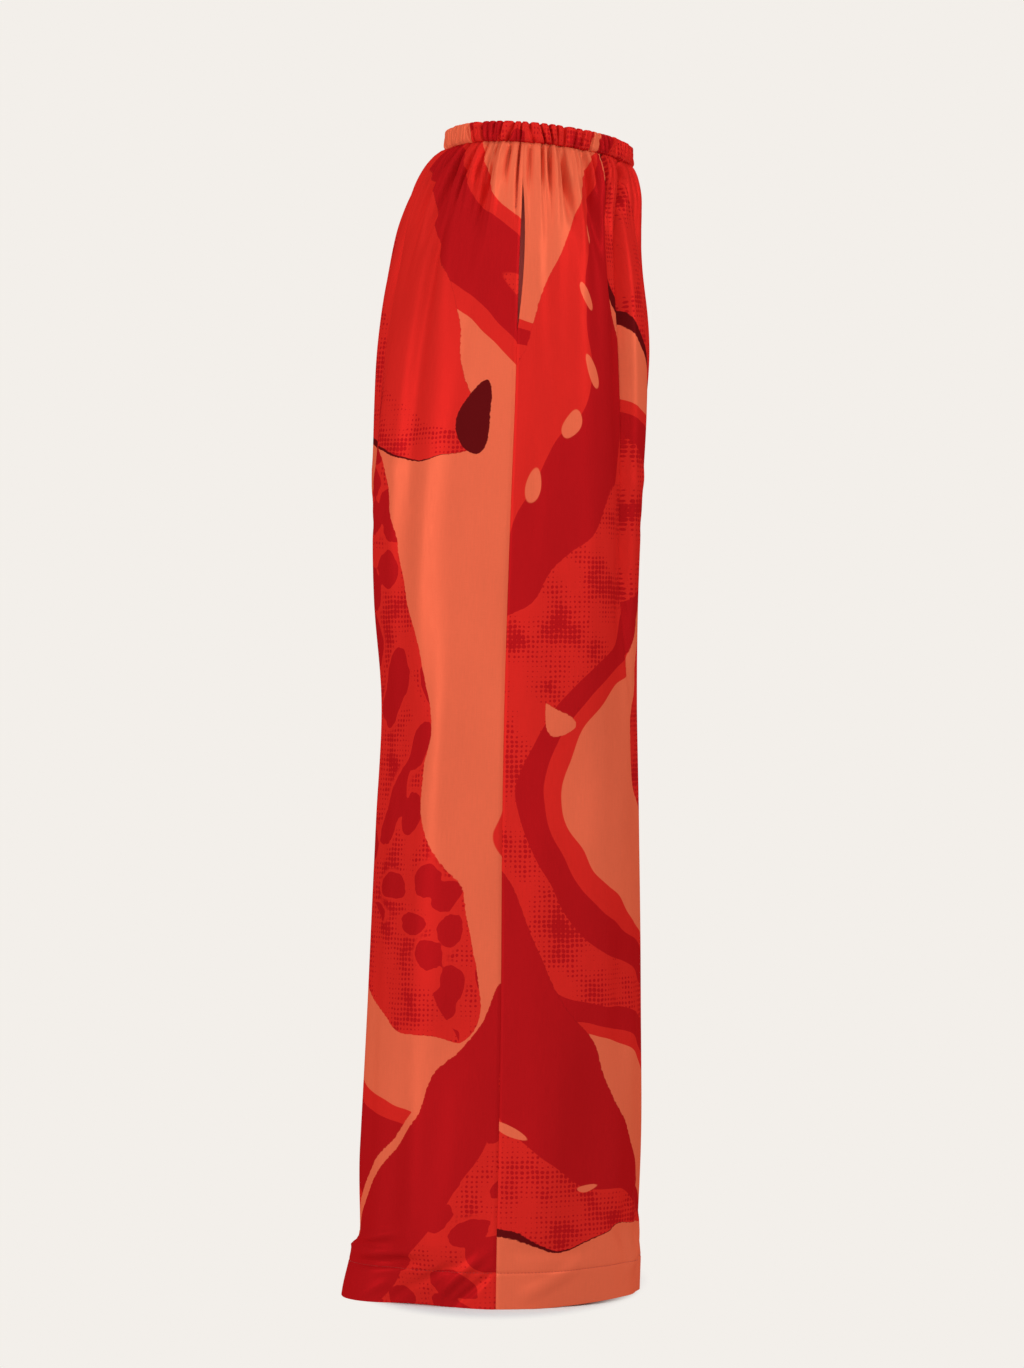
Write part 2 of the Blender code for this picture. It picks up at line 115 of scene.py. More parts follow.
HEM_LIFT_DEPTH = 0.09

# Wide gathers of a panel, as in the frame, and those that run on from the waistband
PANEL_GATHERS = 6
GATHER_DEPTH_COLUMNS = ("drop", "depth", "pucker")
GATHER_DEPTHS = (
    (0.0095, 0.0006, 0.0026),
    (0.0205, 0.0014, 0.0044),
    (0.0345, 0.0024, 0.0033),
    (0.0545, 0.0028, 0.0013),
    (0.0945, 0.0022, 0),
    (0.1445, 0.0012, 0),
    (0.2095, 0.0005, 0),
    (0.2945, 0, 0),
)
# Their unevenness in depth, end and spacing, as size, turns and phase
GATHER_UNEVEN, GATHER_ENDS, GATHER_SLIP = (0.35, 2.55, 0.8), (0.3, 1.9, 2.0), (0.014, 2.3, 0.0)
GATHER_ROUND = 0.26  # how much rounder their ridges are than their valleys
SEAM_CALM, CALM_DEPTH = 0.16, 0.15
PUCKER_IN = 0.5

# Single gathers, narrow at the waistband and wider below, like flames. lean is how far one moves.
# In thousandths of a share or a metre.
FLAME_COLUMNS = ("place", "lean", "end", "half_width", "depth")
FLAMES = (
    (34, 4, 75, 24, -1),
    (82, 12, 120, 22, 1.8),
    (120, 22, 62, 18, -2.4),
    (150, 30, 88, 18, 1.4),
    (186, 64, 105, 42, -4.4),
    (262, 36, 175, 38, 2.6),
    (336, 50, 150, 50, -4.2),
    (420, 24, 100, 32, 2.2),
    (480, 20, 118, 40, -3.4),
    (560, -10, 88, 24, 1.6),
    (770, -30, 100, 44, -3),
    (842, -12, 142, 32, 2),
    (925, -4, 92, 36, -2.8),
    (-88, -4, 58, 18, -1.6),
    (-124, -12, 136, 26, 2.2),
    (-166, -22, 104, 24, -3.6),
    (-202, -24, 122, 22, 1.8),
    (-230, -20, 60, 16, -2.2),
    (-258, -40, 86, 22, 1.8),
    (-296, -60, 112, 30, -3.8),
    (-344, -70, 134, 24, 2.6),
    (-405, -60, 120, 34, -3.6),
    (-478, -44, 168, 34, 2.4),
    (-548, -36, 98, 32, -3.8),
    (-622, -30, 136, 34, 2.2),
    (-704, -22, 156, 34, -3.6),
    (-786, -12, 96, 32, 2.4),
    (-864, -8, 126, 34, -3.2),
    (-945, 0, 146, 30, 1.8),
)
FLAME_TOP = 0.006
FLAME_RIDGE, FLAME_VALLEY, FLAME_SHARP = 1.9, 2.9, 1.7
FLAME_STARTS, FLAME_NARROW = 0.55, 0.42  # shares of its depth and width at the waistband
FLAME_WIDE = 1.15  # its width lower down, over half_width
FLAME_FULL, FLAME_WIDENS = 0.3, 0.6  # shares of its length where it is deepest, and widest
LEFT_FLAMES = (0.96, 1.15, 1.06, 1.04, 0.94)  # the left side's columns, over the right's

# Long folds, as in the frame, and finer ones, in thousandths
FOLD_COLUMNS = ("place", "drift", "top", "bottom", "half_width", "depth")
RIGHT_FOLDS = (
    (260, 50, 40, 620, 100, 2.6),
    (460, -40, 30, 950, 100, -4),
    (620, 40, 50, 1200, 100, 3.8),
    (-200, -30, 100, 900, 100, 2.2),
    (-380, 20, 50, 1200, 90, -3.4),
    (-520, -30, 120, 1050, 80, 4.4),
    (-700, 30, 60, 860, 100, -5.6),
    (-920, -40, 340, 1200, 100, 4),
)
LEFT_FOLDS = (
    (220, 40, 60, 800, 100, -2.4),
    (400, -30, 40, 1200, 100, 3.6),
    (900, -50, 380, 1200, 100, -4),
    (-240, 30, 50, 700, 100, 3),
    (-440, -20, 80, 1200, 90, -4),
    (-620, 20, 100, 1200, 90, 4.4),
    (-840, 20, 360, 1000, 100, -3.6),
)
FINE_FOLDS = (
    (100, 50, 160, 440, 40, 0.6),
    (400, 50, 240, 800, 60, 1),
    (440, -100, 100, 340, 60, -1.4),
    (760, -30, 450, 1050, 60, 1.3),
    (900, 0, 60, 300, 70, 1.6),
    (960, 0, 260, 660, 340, 1.8),
    (250, 60, 800, 1045, 130, -7.8),
    (120, 20, 760, 1060, 90, 3.2),
    (500, 20, 880, 1120, 70, 2.6),
    (-90, -30, 240, 600, 45, -0.7),
    (-330, -50, 500, 1000, 60, 1),
    (-460, 20, 140, 460, 60, 1.2),
    (-600, -20, 200, 750, 55, -1.2),
    (-820, 30, 100, 400, 60, -1.4),
    (-220, 20, 840, 1040, 70, -1.4),
)
LEFT_FINE_FOLDS = (0.93, -0.8, 1.08, 0.96, 1.1, 0.9)  # the left side's columns, over the right's
FOLD_FADE = 0.1
CENTRE_DRAW = (1000, 0, 4, 205, 420, -5.2)  # the front is drawn in under the waistband

# Rolls down the front: the cloth is drawn in towards a crease and comes out steeply beyond it.
# lean is how much further forward the crease starts at the waistband.
ROLL_COLUMNS = ("place", "lean", "drift", "top", "bottom", "lead", "wall", "depth", "crease")
RIGHT_ROLLS = ((0.515, 0.22, 0.02, 0.000, 0.56, 0.2, 0.045, 0.01, 0.008),)
LEFT_ROLLS = ((0.54, 0.16, 0.03, 0.004, 0.42, 0.22, 0.06, 0.0068, 0.006),)
ROLL_CREASE = 0.025  # the half width of the narrow crease at a roll's foot, as a share
ROLL_LEAN_DROP = 0.05
ROLL_HOLLOW = 1.6  # how much of the draw is near the crease
ROLL_IN, ROLL_OUT = 0.02, 0.18  # the drops over which a roll comes in and goes out

# The break where the hem meets the floor
LEDGE_TOP, LEDGE_BOTTOM = 1.0375, 1.0445
BREAK_COLUMNS = ("place", "half_width", "top", "bottom", "depth")
RIGHT_BREAKS = (
    (-0.6, 0.46, LEDGE_TOP, LEDGE_BOTTOM, 0.008),
    (-0.56, 0.36, LEDGE_BOTTOM, HEM_DROP, 0.01),
    (0.6, 0.42, 1.0275, 1.0575, 0.0046),
    (-0.26, 0.3, 1.0355, HEM_DROP, -0.012),
)
LEFT_BREAKS = (
    (-0.6, 0.46, LEDGE_TOP, LEDGE_BOTTOM, 0.002),
    (-0.56, 0.36, LEDGE_BOTTOM, HEM_DROP, 0.006),
    (0.5, 0.42, 1.0275, 1.0575, 0.0046),
    (-0.26, 0.3, 1.0355, HEM_DROP, -0.008),
)

# Slanting creases: the ends of each as (share, drop), its half width and its depth, in thousandths
CREASE_COLUMNS = ("share_a", "drop_a", "share_b", "drop_b", "half_width", "depth")
CREASES = (
    (-680, 1044, -280, 1022, 7, 4.2),
    (-580, 1058, -200, 1048, 9, -5.2),
    (-220, 1088, -10, 1034, 8, 3.4),
    (-160, 1094, 10, 1052, 6, -2.8),
    (-300, 1076, -100, 1046, 7, -2.4),
    (-500, 1090, -360, 1068, 7, 1.4),
    (-400, 1092, -260, 1066, 7, -1.2),
    (0, 1036, 360, 1042, 12, -1.8),
    (340, 990, 500, 1050, 12, -2.2),
    (440, 1004, 620, 986, 6, -2),
    (420, 1078, 800, 996, 12, 1.8),
    (50, 1084, 300, 1050, 11, 1.8),
    (500, 1086, 660, 1046, 10, -2),
    (-300, 305, -840, 350, 16, 1),
    (400, 340, 920, 305, 15, 1),
    (550, 380, 960, 323, 12, -0.9),
    (-450, 380, -960, 323, 13, -1),
)
CREASE_ENDS = 3  # over a third of its length it comes in, and goes out
LEFT_CREASES = (0.94, 1.001, 1.06, 0.999, 1.1, 0.85)  # the left side's columns, over the right's

# Small unevenness of the hanging cloth
RIPPLES = 14
RIPPLE_DEPTH = 0.00022
RIPPLE_ACROSS = (0.04, 0.13)  # metres from one crest to the next
RIPPLE_DOWN = (0.16, 0.6)
RIPPLES_FROM, RIPPLES_IN = 0.02, 0.08  # the drop where they start, and over which they grow

# Side pocket
SLIT_TOP, SLIT_BOTTOM = 0.0455, 0.1905
SLIT_GAPE = 0.0045
SLIT_SPREAD = 0.03  # how far from the slit the front is pushed aside
BAG_TOP, BAG_BOTTOM = 0.03, 0.2875
BAG_CLOTH = 0.0005
BAG_NARROW = 0.3
BAG_NARROW_FROM = 0.2055
BAG_HEM = 0.02
BAG_CLEAR = 2.0  # how far in it lies, over the depth of the gathers that run on from the band
BAG_EASE = 3  # over how many points of its sheet it passes the folds smoothly
BAG_ROOM, BAG_ROOM_TO = 0.002, 0.12  # how much further in it lies, down to this drop
BAG_RIPPLE = 0.0005
BAG_CHAIN = (  # forward of the side seam, depth under the cloth, how far it gives way to folds
    (0.001, 0.0029, 0),
    (0.028, 0.0058, 1),
    (0.07, 0.0066, 1),
    (0.108, 0.0066, 1),
    (0.113, 0.0084, 1),
    (0.108, 0.0102, 1),
    (0.07, 0.0102, 1),
    (0.03, 0.0096, 1),
    (0.006, 0.0062, 0.3),
    (-0.011, 0.0036, 0),
)
BAG_ROWS, BAG_STEPS = 70, 8

# Grids of the panels
COLUMN_STEP = 0.0022
ROW_STEP, LEG_ROW_STEP, HEM_ROW_STEP = 0.0033, 0.006, 0.003
HEM_ROWS_FROM = 1.0
# Columns this near a seam
EDGE_PLACES = (0.0, 0.0007, 0.0015, 0.0024, 0.0036, 0.0046, 0.0052, 0.0058, 0.0068, 0.0074, 0.008)
TUCK = 0.0013  # how far the panels go up inside the waistband
TUCK_IN, TUCK_WAVE = 0.0012, 0.41  # how far in they lie there, and their share of its gathers
TUCK_FADE = 0.0045  # the drop over which they take their own form
SPREAD_FROM = 0.5
CROTCH_MARGIN = 0.0006
FINE = 160
NEAR = 0.0005

# Sewing
STITCH, STITCH_GAP, THREAD = 0.0024, 0.0008, 0.0002
BEAD_RINGS, BEAD_SIDES = 5, 6
BEAD_ARCH, BEAD_SUNK, BEAD_END = 1.5, 0.35, 0.45  # over the thread's radius
STITCH_GROOVE, HEM_GROOVE = (0.0011, 0.0004), (0.0016, 0.0005)  # half width and depth
HEM_STITCH_DROP = HEM_DROP - HEM_DEPTH
HEM_MARGIN = 0.0012  # how far above its stitching the hem's thickness starts
TOPSTITCH_TOP, TOPSTITCH_BOTTOM = 0.018, 0.0755
TOPSTITCH_PLACES = (0.0052, 0.0074)  # behind the side seam, above and round the pocket
BAND_STITCH_LEVEL = -0.8

# Printed design, on the flat cloth
REPEAT = (0.68, 1.36, 1.0)
PRINT_STARTS = {
    "front_right": (0.5, 0.2),
    "back_right": (0.96, 0.15),
    "front_left": (0.1, 0.02),
    "back_left": (0.55, 0.1),
    "waistband": (0.05, 0.64),
    "pocket_right": (0.3, 0.9),
    "pocket_left": (0.00, 0.8),
}
CORAL = (0.795, 0.138, 0.066, 1)
VERMILION = (0.675, 0.021, 0.016, 1)
CRIMSON = (0.465, 0.008, 0.0105, 1)
MAROON = (0.12, 0.005, 0.006, 1)
INKS = {"coral": CORAL, "vermilion": VERMILION, "crimson": CRIMSON, "maroon": MAROON}
DOT_PITCH, DOT_JITTER = 0.0046, 0.0022
PEBBLE_SCALE = 21.0  # pebbles a metre
EDGE_THICK = 0.13  # a leaf's outline, over its half width
SEEDS, SEED_SIZE, SEED_STRETCH = 3.5, 0.0085, 2.2
SEED_MARGIN = 0.008  # how far inside the leaf they end
BIAS = 0.42  # how much more coral the upper half has, and how much less the lower

RIBBONS = ((0.42, "vermilion"), (0.62, "crimson"), (0.93, "dotted"))
WARPS = ((4.0, 0.11), (13.0, 0.022))  # noise scales and how far they move the design, in metres
RAGGED = 0.0024  # how uneven a shape's edge is
PALE = (0.86, 0.42, 0.34, 1)  # in the wrong side
MIDDLE = (0.5, 0.5, 0.5)

# Leaves, pebbles and drops of the design. x and y are the middle in the repeat, angle is in degrees
# from the cloth's width, and power shapes the ends: 1 is pointed and 0.5 round.
MOTIF_COLUMNS = (
    "x", "y", "angle", "half_length", "half_width", "bend", "power", "near", "far", "seeds", "edge",
)
MOTIFS = (
    (0.13, 0.24, 58, 0.27, 0.085, 0.3, 0.85, "vermilion", "dotted", "", "maroon"),
    (0.5, 0.42, 118, 0.26, 0.08, -0.34, 0.8, "crimson", "vermilion", "coral", ""),
    (0.18, 0.72, 78, 0.3, 0.105, 0.3, 0.7, "pebbled", "dotted", "", "coral"),
    (0.53, 0.98, 60, 0.3, 0.105, 0.28, 0.9, "crimson", "dotted", "coral", "maroon"),
    (0.15, 1.17, 124, 0.25, 0.09, -0.3, 0.75, "pebbled", "crimson", "", "coral"),
    (0.37, 0.13, 20, 0.036, 0.021, 0.2, 0.6, "maroon", "maroon", "", ""),
    (0.42, 0.19, 75, 0.026, 0.014, 0.3, 0.6, "crimson", "crimson", "", ""),
    (0.27, 0.44, 100, 0.036, 0.021, 0.2, 0.6, "maroon", "maroon", "", ""),
    (0.58, 0.74, 40, 0.026, 0.013, 0.3, 0.8, "coral", "coral", "", ""),
    (0.36, 0.86, 130, 0.034, 0.015, 0.4, 0.8, "coral", "coral", "", ""),
    (0.31, 0.93, 110, 0.024, 0.011, 0.4, 0.8, "coral", "coral", "", ""),
    (0.66, 1.28, 70, 0.03, 0.013, -0.4, 0.8, "coral", "coral", "", ""),
    (0.36, 1.26, 30, 0.044, 0.026, 0.2, 0.6, "maroon", "maroon", "", ""),
)
MOTIF_NUMBERS = ("Half length", "Half width", "Bend", "Power")
MOTIF_LOPSIDED = 0.28  # how much wider the far end is

# Camera and stage
FILM_HEIGHT_MM = 36.0
LENS_MM = 119.9
CAMERA_PLACE = (-4.4, 0.027, -0.5175)
BACKGROUND = (0.896, 0.863, 0.823, 1)
FLOOR = (0.79, 0.9, 0.91, 1)
FLOOR_Z = -HEM_DROP - 0.0002
FOOTPRINT, FOOTPRINT_MIDDLE = (0.3, 0.15), 0.043  # half its width and depth, and its middle
LIGHT_AIM = (0, 0.03, -0.5)
LIGHTS = (  # name, place, size and power
    ("key", (-2.2, 3.0, 0.3), (1.0, 1.8), 50),
    ("fill", (-1.4, -1.8, 0.9), (0.8, 1.2), 23),
    ("front", (-3.9, 0.3, 0.5), (1.0, 1.4), 17),
    ("far_side", (3.0, -0.9, 1.1), (1.2, 1.8), 48),
    ("top", (0, 0, 2.4), (1.6, 1.6), 16),
)


def table(columns, rows):
    """The table's columns by name, as arrays."""
    return SimpleNamespace(**dict(zip(columns, np.array(rows).T)))


def named(columns, rows, factors=1, parts=1):
    """The table's rows with names for their numbers, each column times its factor. parts is 1000
    where the table is in thousandths."""
    return [SimpleNamespace(**dict(zip(columns, row))) for row in np.array(rows) * factors / parts]


def summed(form):
    """Turns a function of one of a table's rows into one that sums it over all of them."""
    return lambda place, drop, rows, *more: sum(form(place, drop, row, *more) for row in rows)


def smooth(x):
    """0 up to 0, 1 from 1 on, and an S between."""
    x = np.clip(x, 0, 1)
    return x * x * (3 - 2 * x)


def bump(x):
    """1 at 0, falling smoothly to nothing at -1 and 1."""
    x = np.clip(np.abs(x), 0, 1)
    return (1 + np.cos(math.pi * x)) / 2


def through(xs, ys, x):
    """A smooth curve through the points (xs, ys), read at x."""
    slopes = np.gradient(ys, xs)
    i = int(np.clip(np.searchsorted(xs, x) - 1, 0, len(xs) - 2))
    width = xs[i + 1] - xs[i]
    t = (x - xs[i]) / width
    return (
        ys[i] * (1 - t) ** 2 * (1 + 2 * t)
        + ys[i + 1] * t * t * (3 - 2 * t)
        + width * t * (1 - t) * (slopes[i] * (1 - t) - slopes[i + 1] * t)
    )


SECTION = table(SECTION_COLUMNS, SECTIONS)
GATHER = table(GATHER_DEPTH_COLUMNS, GATHER_DEPTHS)


def section(drop):
    """The section's sizes at a drop, by name."""
    row = [through(SECTION.drop, column, drop) for column in vars(SECTION).values()]
    return named(SECTION_COLUMNS, [row])[0]


def side_depth(size, way):
    """How deep the section is before the side seam, or behind it."""
    return size.seam + size.front if way < 0 else size.back - size.seam


def fullest_line(drop, outer):
    """The reach at which the section is deepest."""
    share = smooth((drop - FORK_TOP) / (LINE_SETTLES - FORK_TOP))
    return outer * (LINE_AT_WAIST + (LINE_AT_LEG - LINE_AT_WAIST) * share)


def fork(drop):
    """How far the inner sides have come together: 0 at the waist, 1 at the crotch."""
    share = (drop - FORK_TOP) / (CROTCH_DROP - FORK_TOP)
    return max(FORK_LEAST, share) ** FORK_POWER


def widths(drop, outer):
    """Widths of a leg's loop out and in from its fullest line, and the line's reach."""
    line = fullest_line(drop, outer)
    if drop < CROTCH_DROP:
        return outer - line, line / fork(drop), line
    gap = SEAM_GAP + LEG_GAP * smooth((drop - CROTCH_DROP) / LEG_GAP_OPENS)
    return outer - line, line - gap, line


def height(drop, y):
    """z of a point at a drop: level, but for the waist's edge and the front of the hem."""
    share = y / SECTION.back[0]
    level = smooth((drop - BAND_HEIGHT) / (WAIST_LEVEL_DROP - BAND_HEIGHT))
    waist = (WAIST_BOW * share**2 + WAIST_TILT * share) * (1 - level)
    down = smooth((drop - HEM_LIFT_FROM) / (HEM_DROP - HEM_LIFT_FROM))
    return -drop + waist + HEM_FRONT_LIFT * down * smooth(-y / HEM_LIFT_DEPTH)


def half_loop(turn, drop, way):
    """Points (reach, y, z) of a leg's loop at these turns from the side seam, round the front if
    way is -1 or the back if it is 1."""
    size = section(drop)
    out, into, line = widths(drop, size.outer)
    cos, sin = np.cos(turn), np.sin(turn)
    power = 2 / size.square
    reach = line + np.where(cos > 0, out, -into) * np.abs(cos) ** power
    y = size.seam + way * side_depth(size, way) * np.abs(sin) ** power
    return np.column_stack([reach, y, height(drop, y)])


def loop_turns(drop):
    """Turns from the side seam to where a leg's loop reaches the centre seam, or the inseam."""
    last = math.pi
    if drop < CROTCH_DROP:
        last = math.acos(-(fork(drop) ** (section(drop).square / 2)))
    outside = np.linspace(0, math.pi / 2, FINE)
    return np.concatenate([outside, np.linspace(math.pi / 2, last, FINE // 2)[1:]])


def unit(vectors):
    """The same ways, each of length 1."""
    return vectors / np.maximum(np.linalg.norm(vectors, axis=-1, keepdims=True), 1e-12)


def lengths(points):
    """How far along a line each of its points is."""
    return np.concatenate([[0], np.cumsum(np.linalg.norm(np.diff(points, axis=0), axis=1))])


def leg_line(drop):
    """One side's section, from the back's inner edge over the side seam to the front's: each
    point's distance forward of the side seam, the points, and the ways out from them."""
    turn = loop_turns(drop)

    def line(level):
        return np.concatenate([half_loop(turn, level, 1)[:0:-1], half_loop(turn, level, -1)])

    points = line(drop)
    across = np.gradient(points, axis=0)
    if drop > CROTCH_DROP:
        across[0] = across[-1] = points[1] - points[-2]
    down = line(drop + NEAR) - line(drop - NEAR)
    distance = lengths(points)
    return distance - distance[len(turn) - 1], points, unit(np.cross(across, down))


def read(places, distance, values):
    """The values along a line, read at these distances."""
    return np.stack([np.interp(places, distance, values[:, k]) for k in range(values.shape[1])], axis=1)


def hang_width(drop, way):
    """The width over which a panel's folds are spread: round to the centre, as with no fork."""
    size = section(drop)
    line = fullest_line(drop, size.outer)
    turn = np.linspace(0, math.pi / 2, FINE)
    power = 2 / size.square
    out = (size.outer - line) * np.cos(turn) ** power
    return line + lengths(np.column_stack([out, side_depth(size, way) * np.sin(turn) ** power]))[-1]


def hang_share(distance, drop):
    """Distances forward of the side seam as shares of the width the folds are spread over."""
    return np.where(distance > 0, distance / hang_width(drop, -1), distance / hang_width(drop, 1))


def waves(place, *rows):
    """The sum of sine waves over a place: each row is a size, turns for 1 of place, and a phase."""
    return sum(size * np.sin(2 * math.pi * turns * place + phase) for size, turns, phase in rows)


def gather_wave(share, drop):
    """How far the wide gathers push the cloth out: rounded ridges with narrower valleys."""
    depth = np.interp(drop * (1 + waves(share, GATHER_ENDS)), GATHER.drop, GATHER.depth)
    calm = CALM_DEPTH + (1 - CALM_DEPTH) * smooth(np.abs(share) / SEAM_CALM)
    turn = 2 * math.pi * PANEL_GATHERS * (share + waves(share, GATHER_SLIP))
    depth = depth * (1 + waves(share, GATHER_UNEVEN)) * calm
    return depth * (np.sin(turn) + GATHER_ROUND * np.cos(2 * turn))


@summed
def flame_depth(share, drop, flame):
    """How far the single gathers push the cloth out."""
    run = (drop - FLAME_TOP) / (flame.end - FLAME_TOP)
    grown = FLAME_STARTS + (1 - FLAME_STARTS) * smooth(run / FLAME_FULL)
    size = grown * (1 - smooth((run - FLAME_FULL) / (1 - FLAME_FULL)))
    wide = flame.half_width * (FLAME_NARROW + (FLAME_WIDE - FLAME_NARROW) * smooth(run / FLAME_WIDENS))
    form = bump((share - flame.place - flame.lean * run) / wide)
    return flame.depth * size * (FLAME_RIDGE * form if flame.depth > 0 else FLAME_VALLEY * form**FLAME_SHARP)


@summed
def fold_depth(share, drop, fold):
    """How far the long folds push the cloth out."""
    place = fold.place + fold.drift * drop / HEM_DROP
    fades = smooth((drop - fold.top) / FOLD_FADE) * smooth((fold.bottom - drop) / FOLD_FADE)
    return fold.depth * fades * bump((share - place) / fold.half_width)


@summed
def roll_depth(share, drop, roll):
    """How far the rolls push the cloth out, which is inwards."""
    place = roll.place + roll.lean * math.exp(-drop / ROLL_LEAN_DROP) + roll.drift * drop
    fades = smooth((drop - roll.top) / ROLL_IN) * smooth((roll.bottom - drop) / ROLL_OUT)
    drawn = smooth((share - place) / roll.lead + 1) ** ROLL_HOLLOW
    drawn = roll.depth * drawn * (1 - smooth((share - place) / roll.wall))
    return -fades * (drawn + roll.crease * bump((share - place) / ROLL_CREASE))


@summed
def break_depth(share, drop, ledge):
    """How far the cloth stands out where it meets the floor."""
    down = np.clip((drop - ledge.top) / (ledge.bottom - ledge.top), 0, 1)
    return ledge.depth * (down + smooth(down)) / 2 * bump((share - ledge.place) / ledge.half_width)


@summed
def crease_depth(share, drop, crease, width):
    """How far the slanting creases push the cloth out. width is a panel's, in metres."""
    start = np.array([crease.share_a * width, crease.drop_a])
    run = np.array([crease.share_b * width, crease.drop_b]) - start
    here = np.column_stack([share * width, np.full_like(share, drop)]) - start
    along = here @ run / (run @ run)
    off = (here[:, 0] * run[1] - here[:, 1] * run[0]) / np.linalg.norm(run)
    ends = smooth(along * CREASE_ENDS) * smooth((1 - along) * CREASE_ENDS)
    return crease.depth * ends * bump(off / crease.half_width)


def ripple_table(seed):
    """Waves of the cloth's small unevenness: turns a metre across and down, phase and depth."""
    draw = np.random.default_rng(seed)
    across = 1 / draw.uniform(*RIPPLE_ACROSS, RIPPLES)
    down = draw.choice([-1, 1], RIPPLES) / draw.uniform(*RIPPLE_DOWN, RIPPLES)
    depth = RIPPLE_DEPTH * draw.uniform(0.5, 1.0, RIPPLES)
    return across, down, draw.uniform(0, 2 * math.pi, RIPPLES), depth


def ripple_depth(cloth_x, drop, ripples):
    """How far the small unevenness pushes the cloth out."""
    across, down, phase, depth = ripples
    return np.sin(2 * math.pi * (np.outer(cloth_x, across) + down * drop) + phase) @ depth


def gather_turn(around):
    """The turn of the waistband's gathers at a part of the way round it, from the centre back:
    unevenly spaced, 2 pi for each gather."""
    return 2 * math.pi * BAND_GATHERS * around + waves(around, *BAND_SLIPS)


def gather_puff(turn):
    """Rounded ridges with narrow valleys between them: 1 on a ridge and -1 in a valley."""
    return 1 - 2 * np.exp(-BAND_SHARP * (1 + np.cos(turn)))


def gather_size(around, level=0.0):
    """How deep the waistband's gathers are, round it and between its edges."""
    rows = [(size, turns, phase * level) for size, turns, phase in BAND_TWISTS]
    return (1 + waves(around, *BAND_SIZES)) * (1 + waves(around, *rows))


def gather_split(around, level):
    """The small valleys that part some of the waistband's gathers: 1 in one."""
    split = np.exp(-SPLIT_SHARP * (1 - np.cos(gather_turn(around) + SPLIT_LEAN * level)))
    return split * smooth(waves(around, SPLIT_PLACES) + SPLIT_MORE * level)


def band_swell(around, level, share):
    """How far the waistband's gathers push it out, and how full they are. share is how much of
    their depth they have there."""
    puff = gather_puff(gather_turn(around) + 2 * math.pi * level * waves(around, BAND_LEAN))
    swell = np.where(puff > 0, puff * BAND_RIDGE, puff * BAND_VALLEY) * gather_size(around, level)
    swell = (swell - BAND_SPLIT * gather_split(around, level)) * share
    return np.where(swell < 0, BAND_DEEPEST * np.tanh(swell / BAND_DEEPEST), swell), puff


def waist_lengths():
    """The waist line from the side seam round the back, and round the front."""
    distance = leg_line(0.0)[0]
    return -distance[0], distance[-1]


def waist_place(share, mirrored):
    """A panel's share as a part of the way round the waist, from the centre back over the left."""
    back, front = waist_lengths()
    place = (back + np.where(share > 0, share * front, share * back)) / (2 * (back + front))
    return 1 - place if mirrored else place


def pucker_depth(share, drop, mirrored):
    """The waistband's gathers running on into the panels."""
    depth = np.interp(drop, GATHER.drop, GATHER.pucker)
    if not depth:
        return 0.0
    around = waist_place(share, mirrored)
    return depth * gather_size(around) * (gather_puff(gather_turn(around)) - PUCKER_IN)


def groove(distance, half_width, depth):
    """A soft groove along a line."""
    return -depth * bump(distance / half_width)


def slit_gape(drop):
    """How far forward of the side seam the pocket's edge hangs open."""
    share = np.clip((drop - SLIT_TOP) / (SLIT_BOTTOM - SLIT_TOP), 0, 1)
    return SLIT_GAPE * np.sin(math.pi * share)


def row_drops():
    """The drops of a panel's rows: even, but for the crotch, the hem's stitch line and its edge."""
    top = BAND_HEIGHT / 2 - TUCK
    stitch = HEM_DROP - HEM_DEPTH
    steps = [
        np.arange(top, CROTCH_DROP - 0.02, ROW_STEP),
        np.linspace(CROTCH_DROP - 0.02, CROTCH_DROP - CROTCH_MARGIN, 9),
        np.linspace(CROTCH_DROP + CROTCH_MARGIN * 3, CROTCH_DROP + 0.02, 7),
        np.arange(CROTCH_DROP + 0.024, HEM_ROWS_FROM, LEG_ROW_STEP),
        np.arange(HEM_ROWS_FROM + 0.002, stitch - 0.005, HEM_ROW_STEP),
        stitch + np.array([-0.004, -0.0016, -0.0008, 0.0, 0.0008, 0.0016, 0.004]),
        np.arange(stitch + 0.0062, HEM_DROP - 0.003, 0.0022),
        HEM_DROP - np.array([0.0012, 0.0006, 0.0002, 0.0]),
    ]
    return np.concatenate(steps)


def column_shares(width):
    """Shares of a panel's columns, from the side seam to the inner edge, closer at both."""
    near = np.array(EDGE_PLACES) / width
    count = int(width / COLUMN_STEP)
    middle = np.linspace(near[-1], 1 - near[-1], count)[1:-1]
    return np.concatenate([near, middle, 1 - near[::-1]])


def column_places(shares, drop, length, way):
    """Distances of a panel's columns from the side seam. Those near the inner edge spread out to
    reach round to the inseam."""
    width = hang_width(drop, way)
    spread = np.maximum(0, (shares - SPREAD_FROM) / (1 - SPREAD_FROM)) ** 2
    return shares * width + (length - width) * spread


def grid_normals(grid):
    """The ways out from a grid of points, rows down and columns to the left seen from outside."""
    across = np.gradient(grid, axis=1)
    down = np.gradient(grid, axis=0)
    return unit(np.cross(across, down))


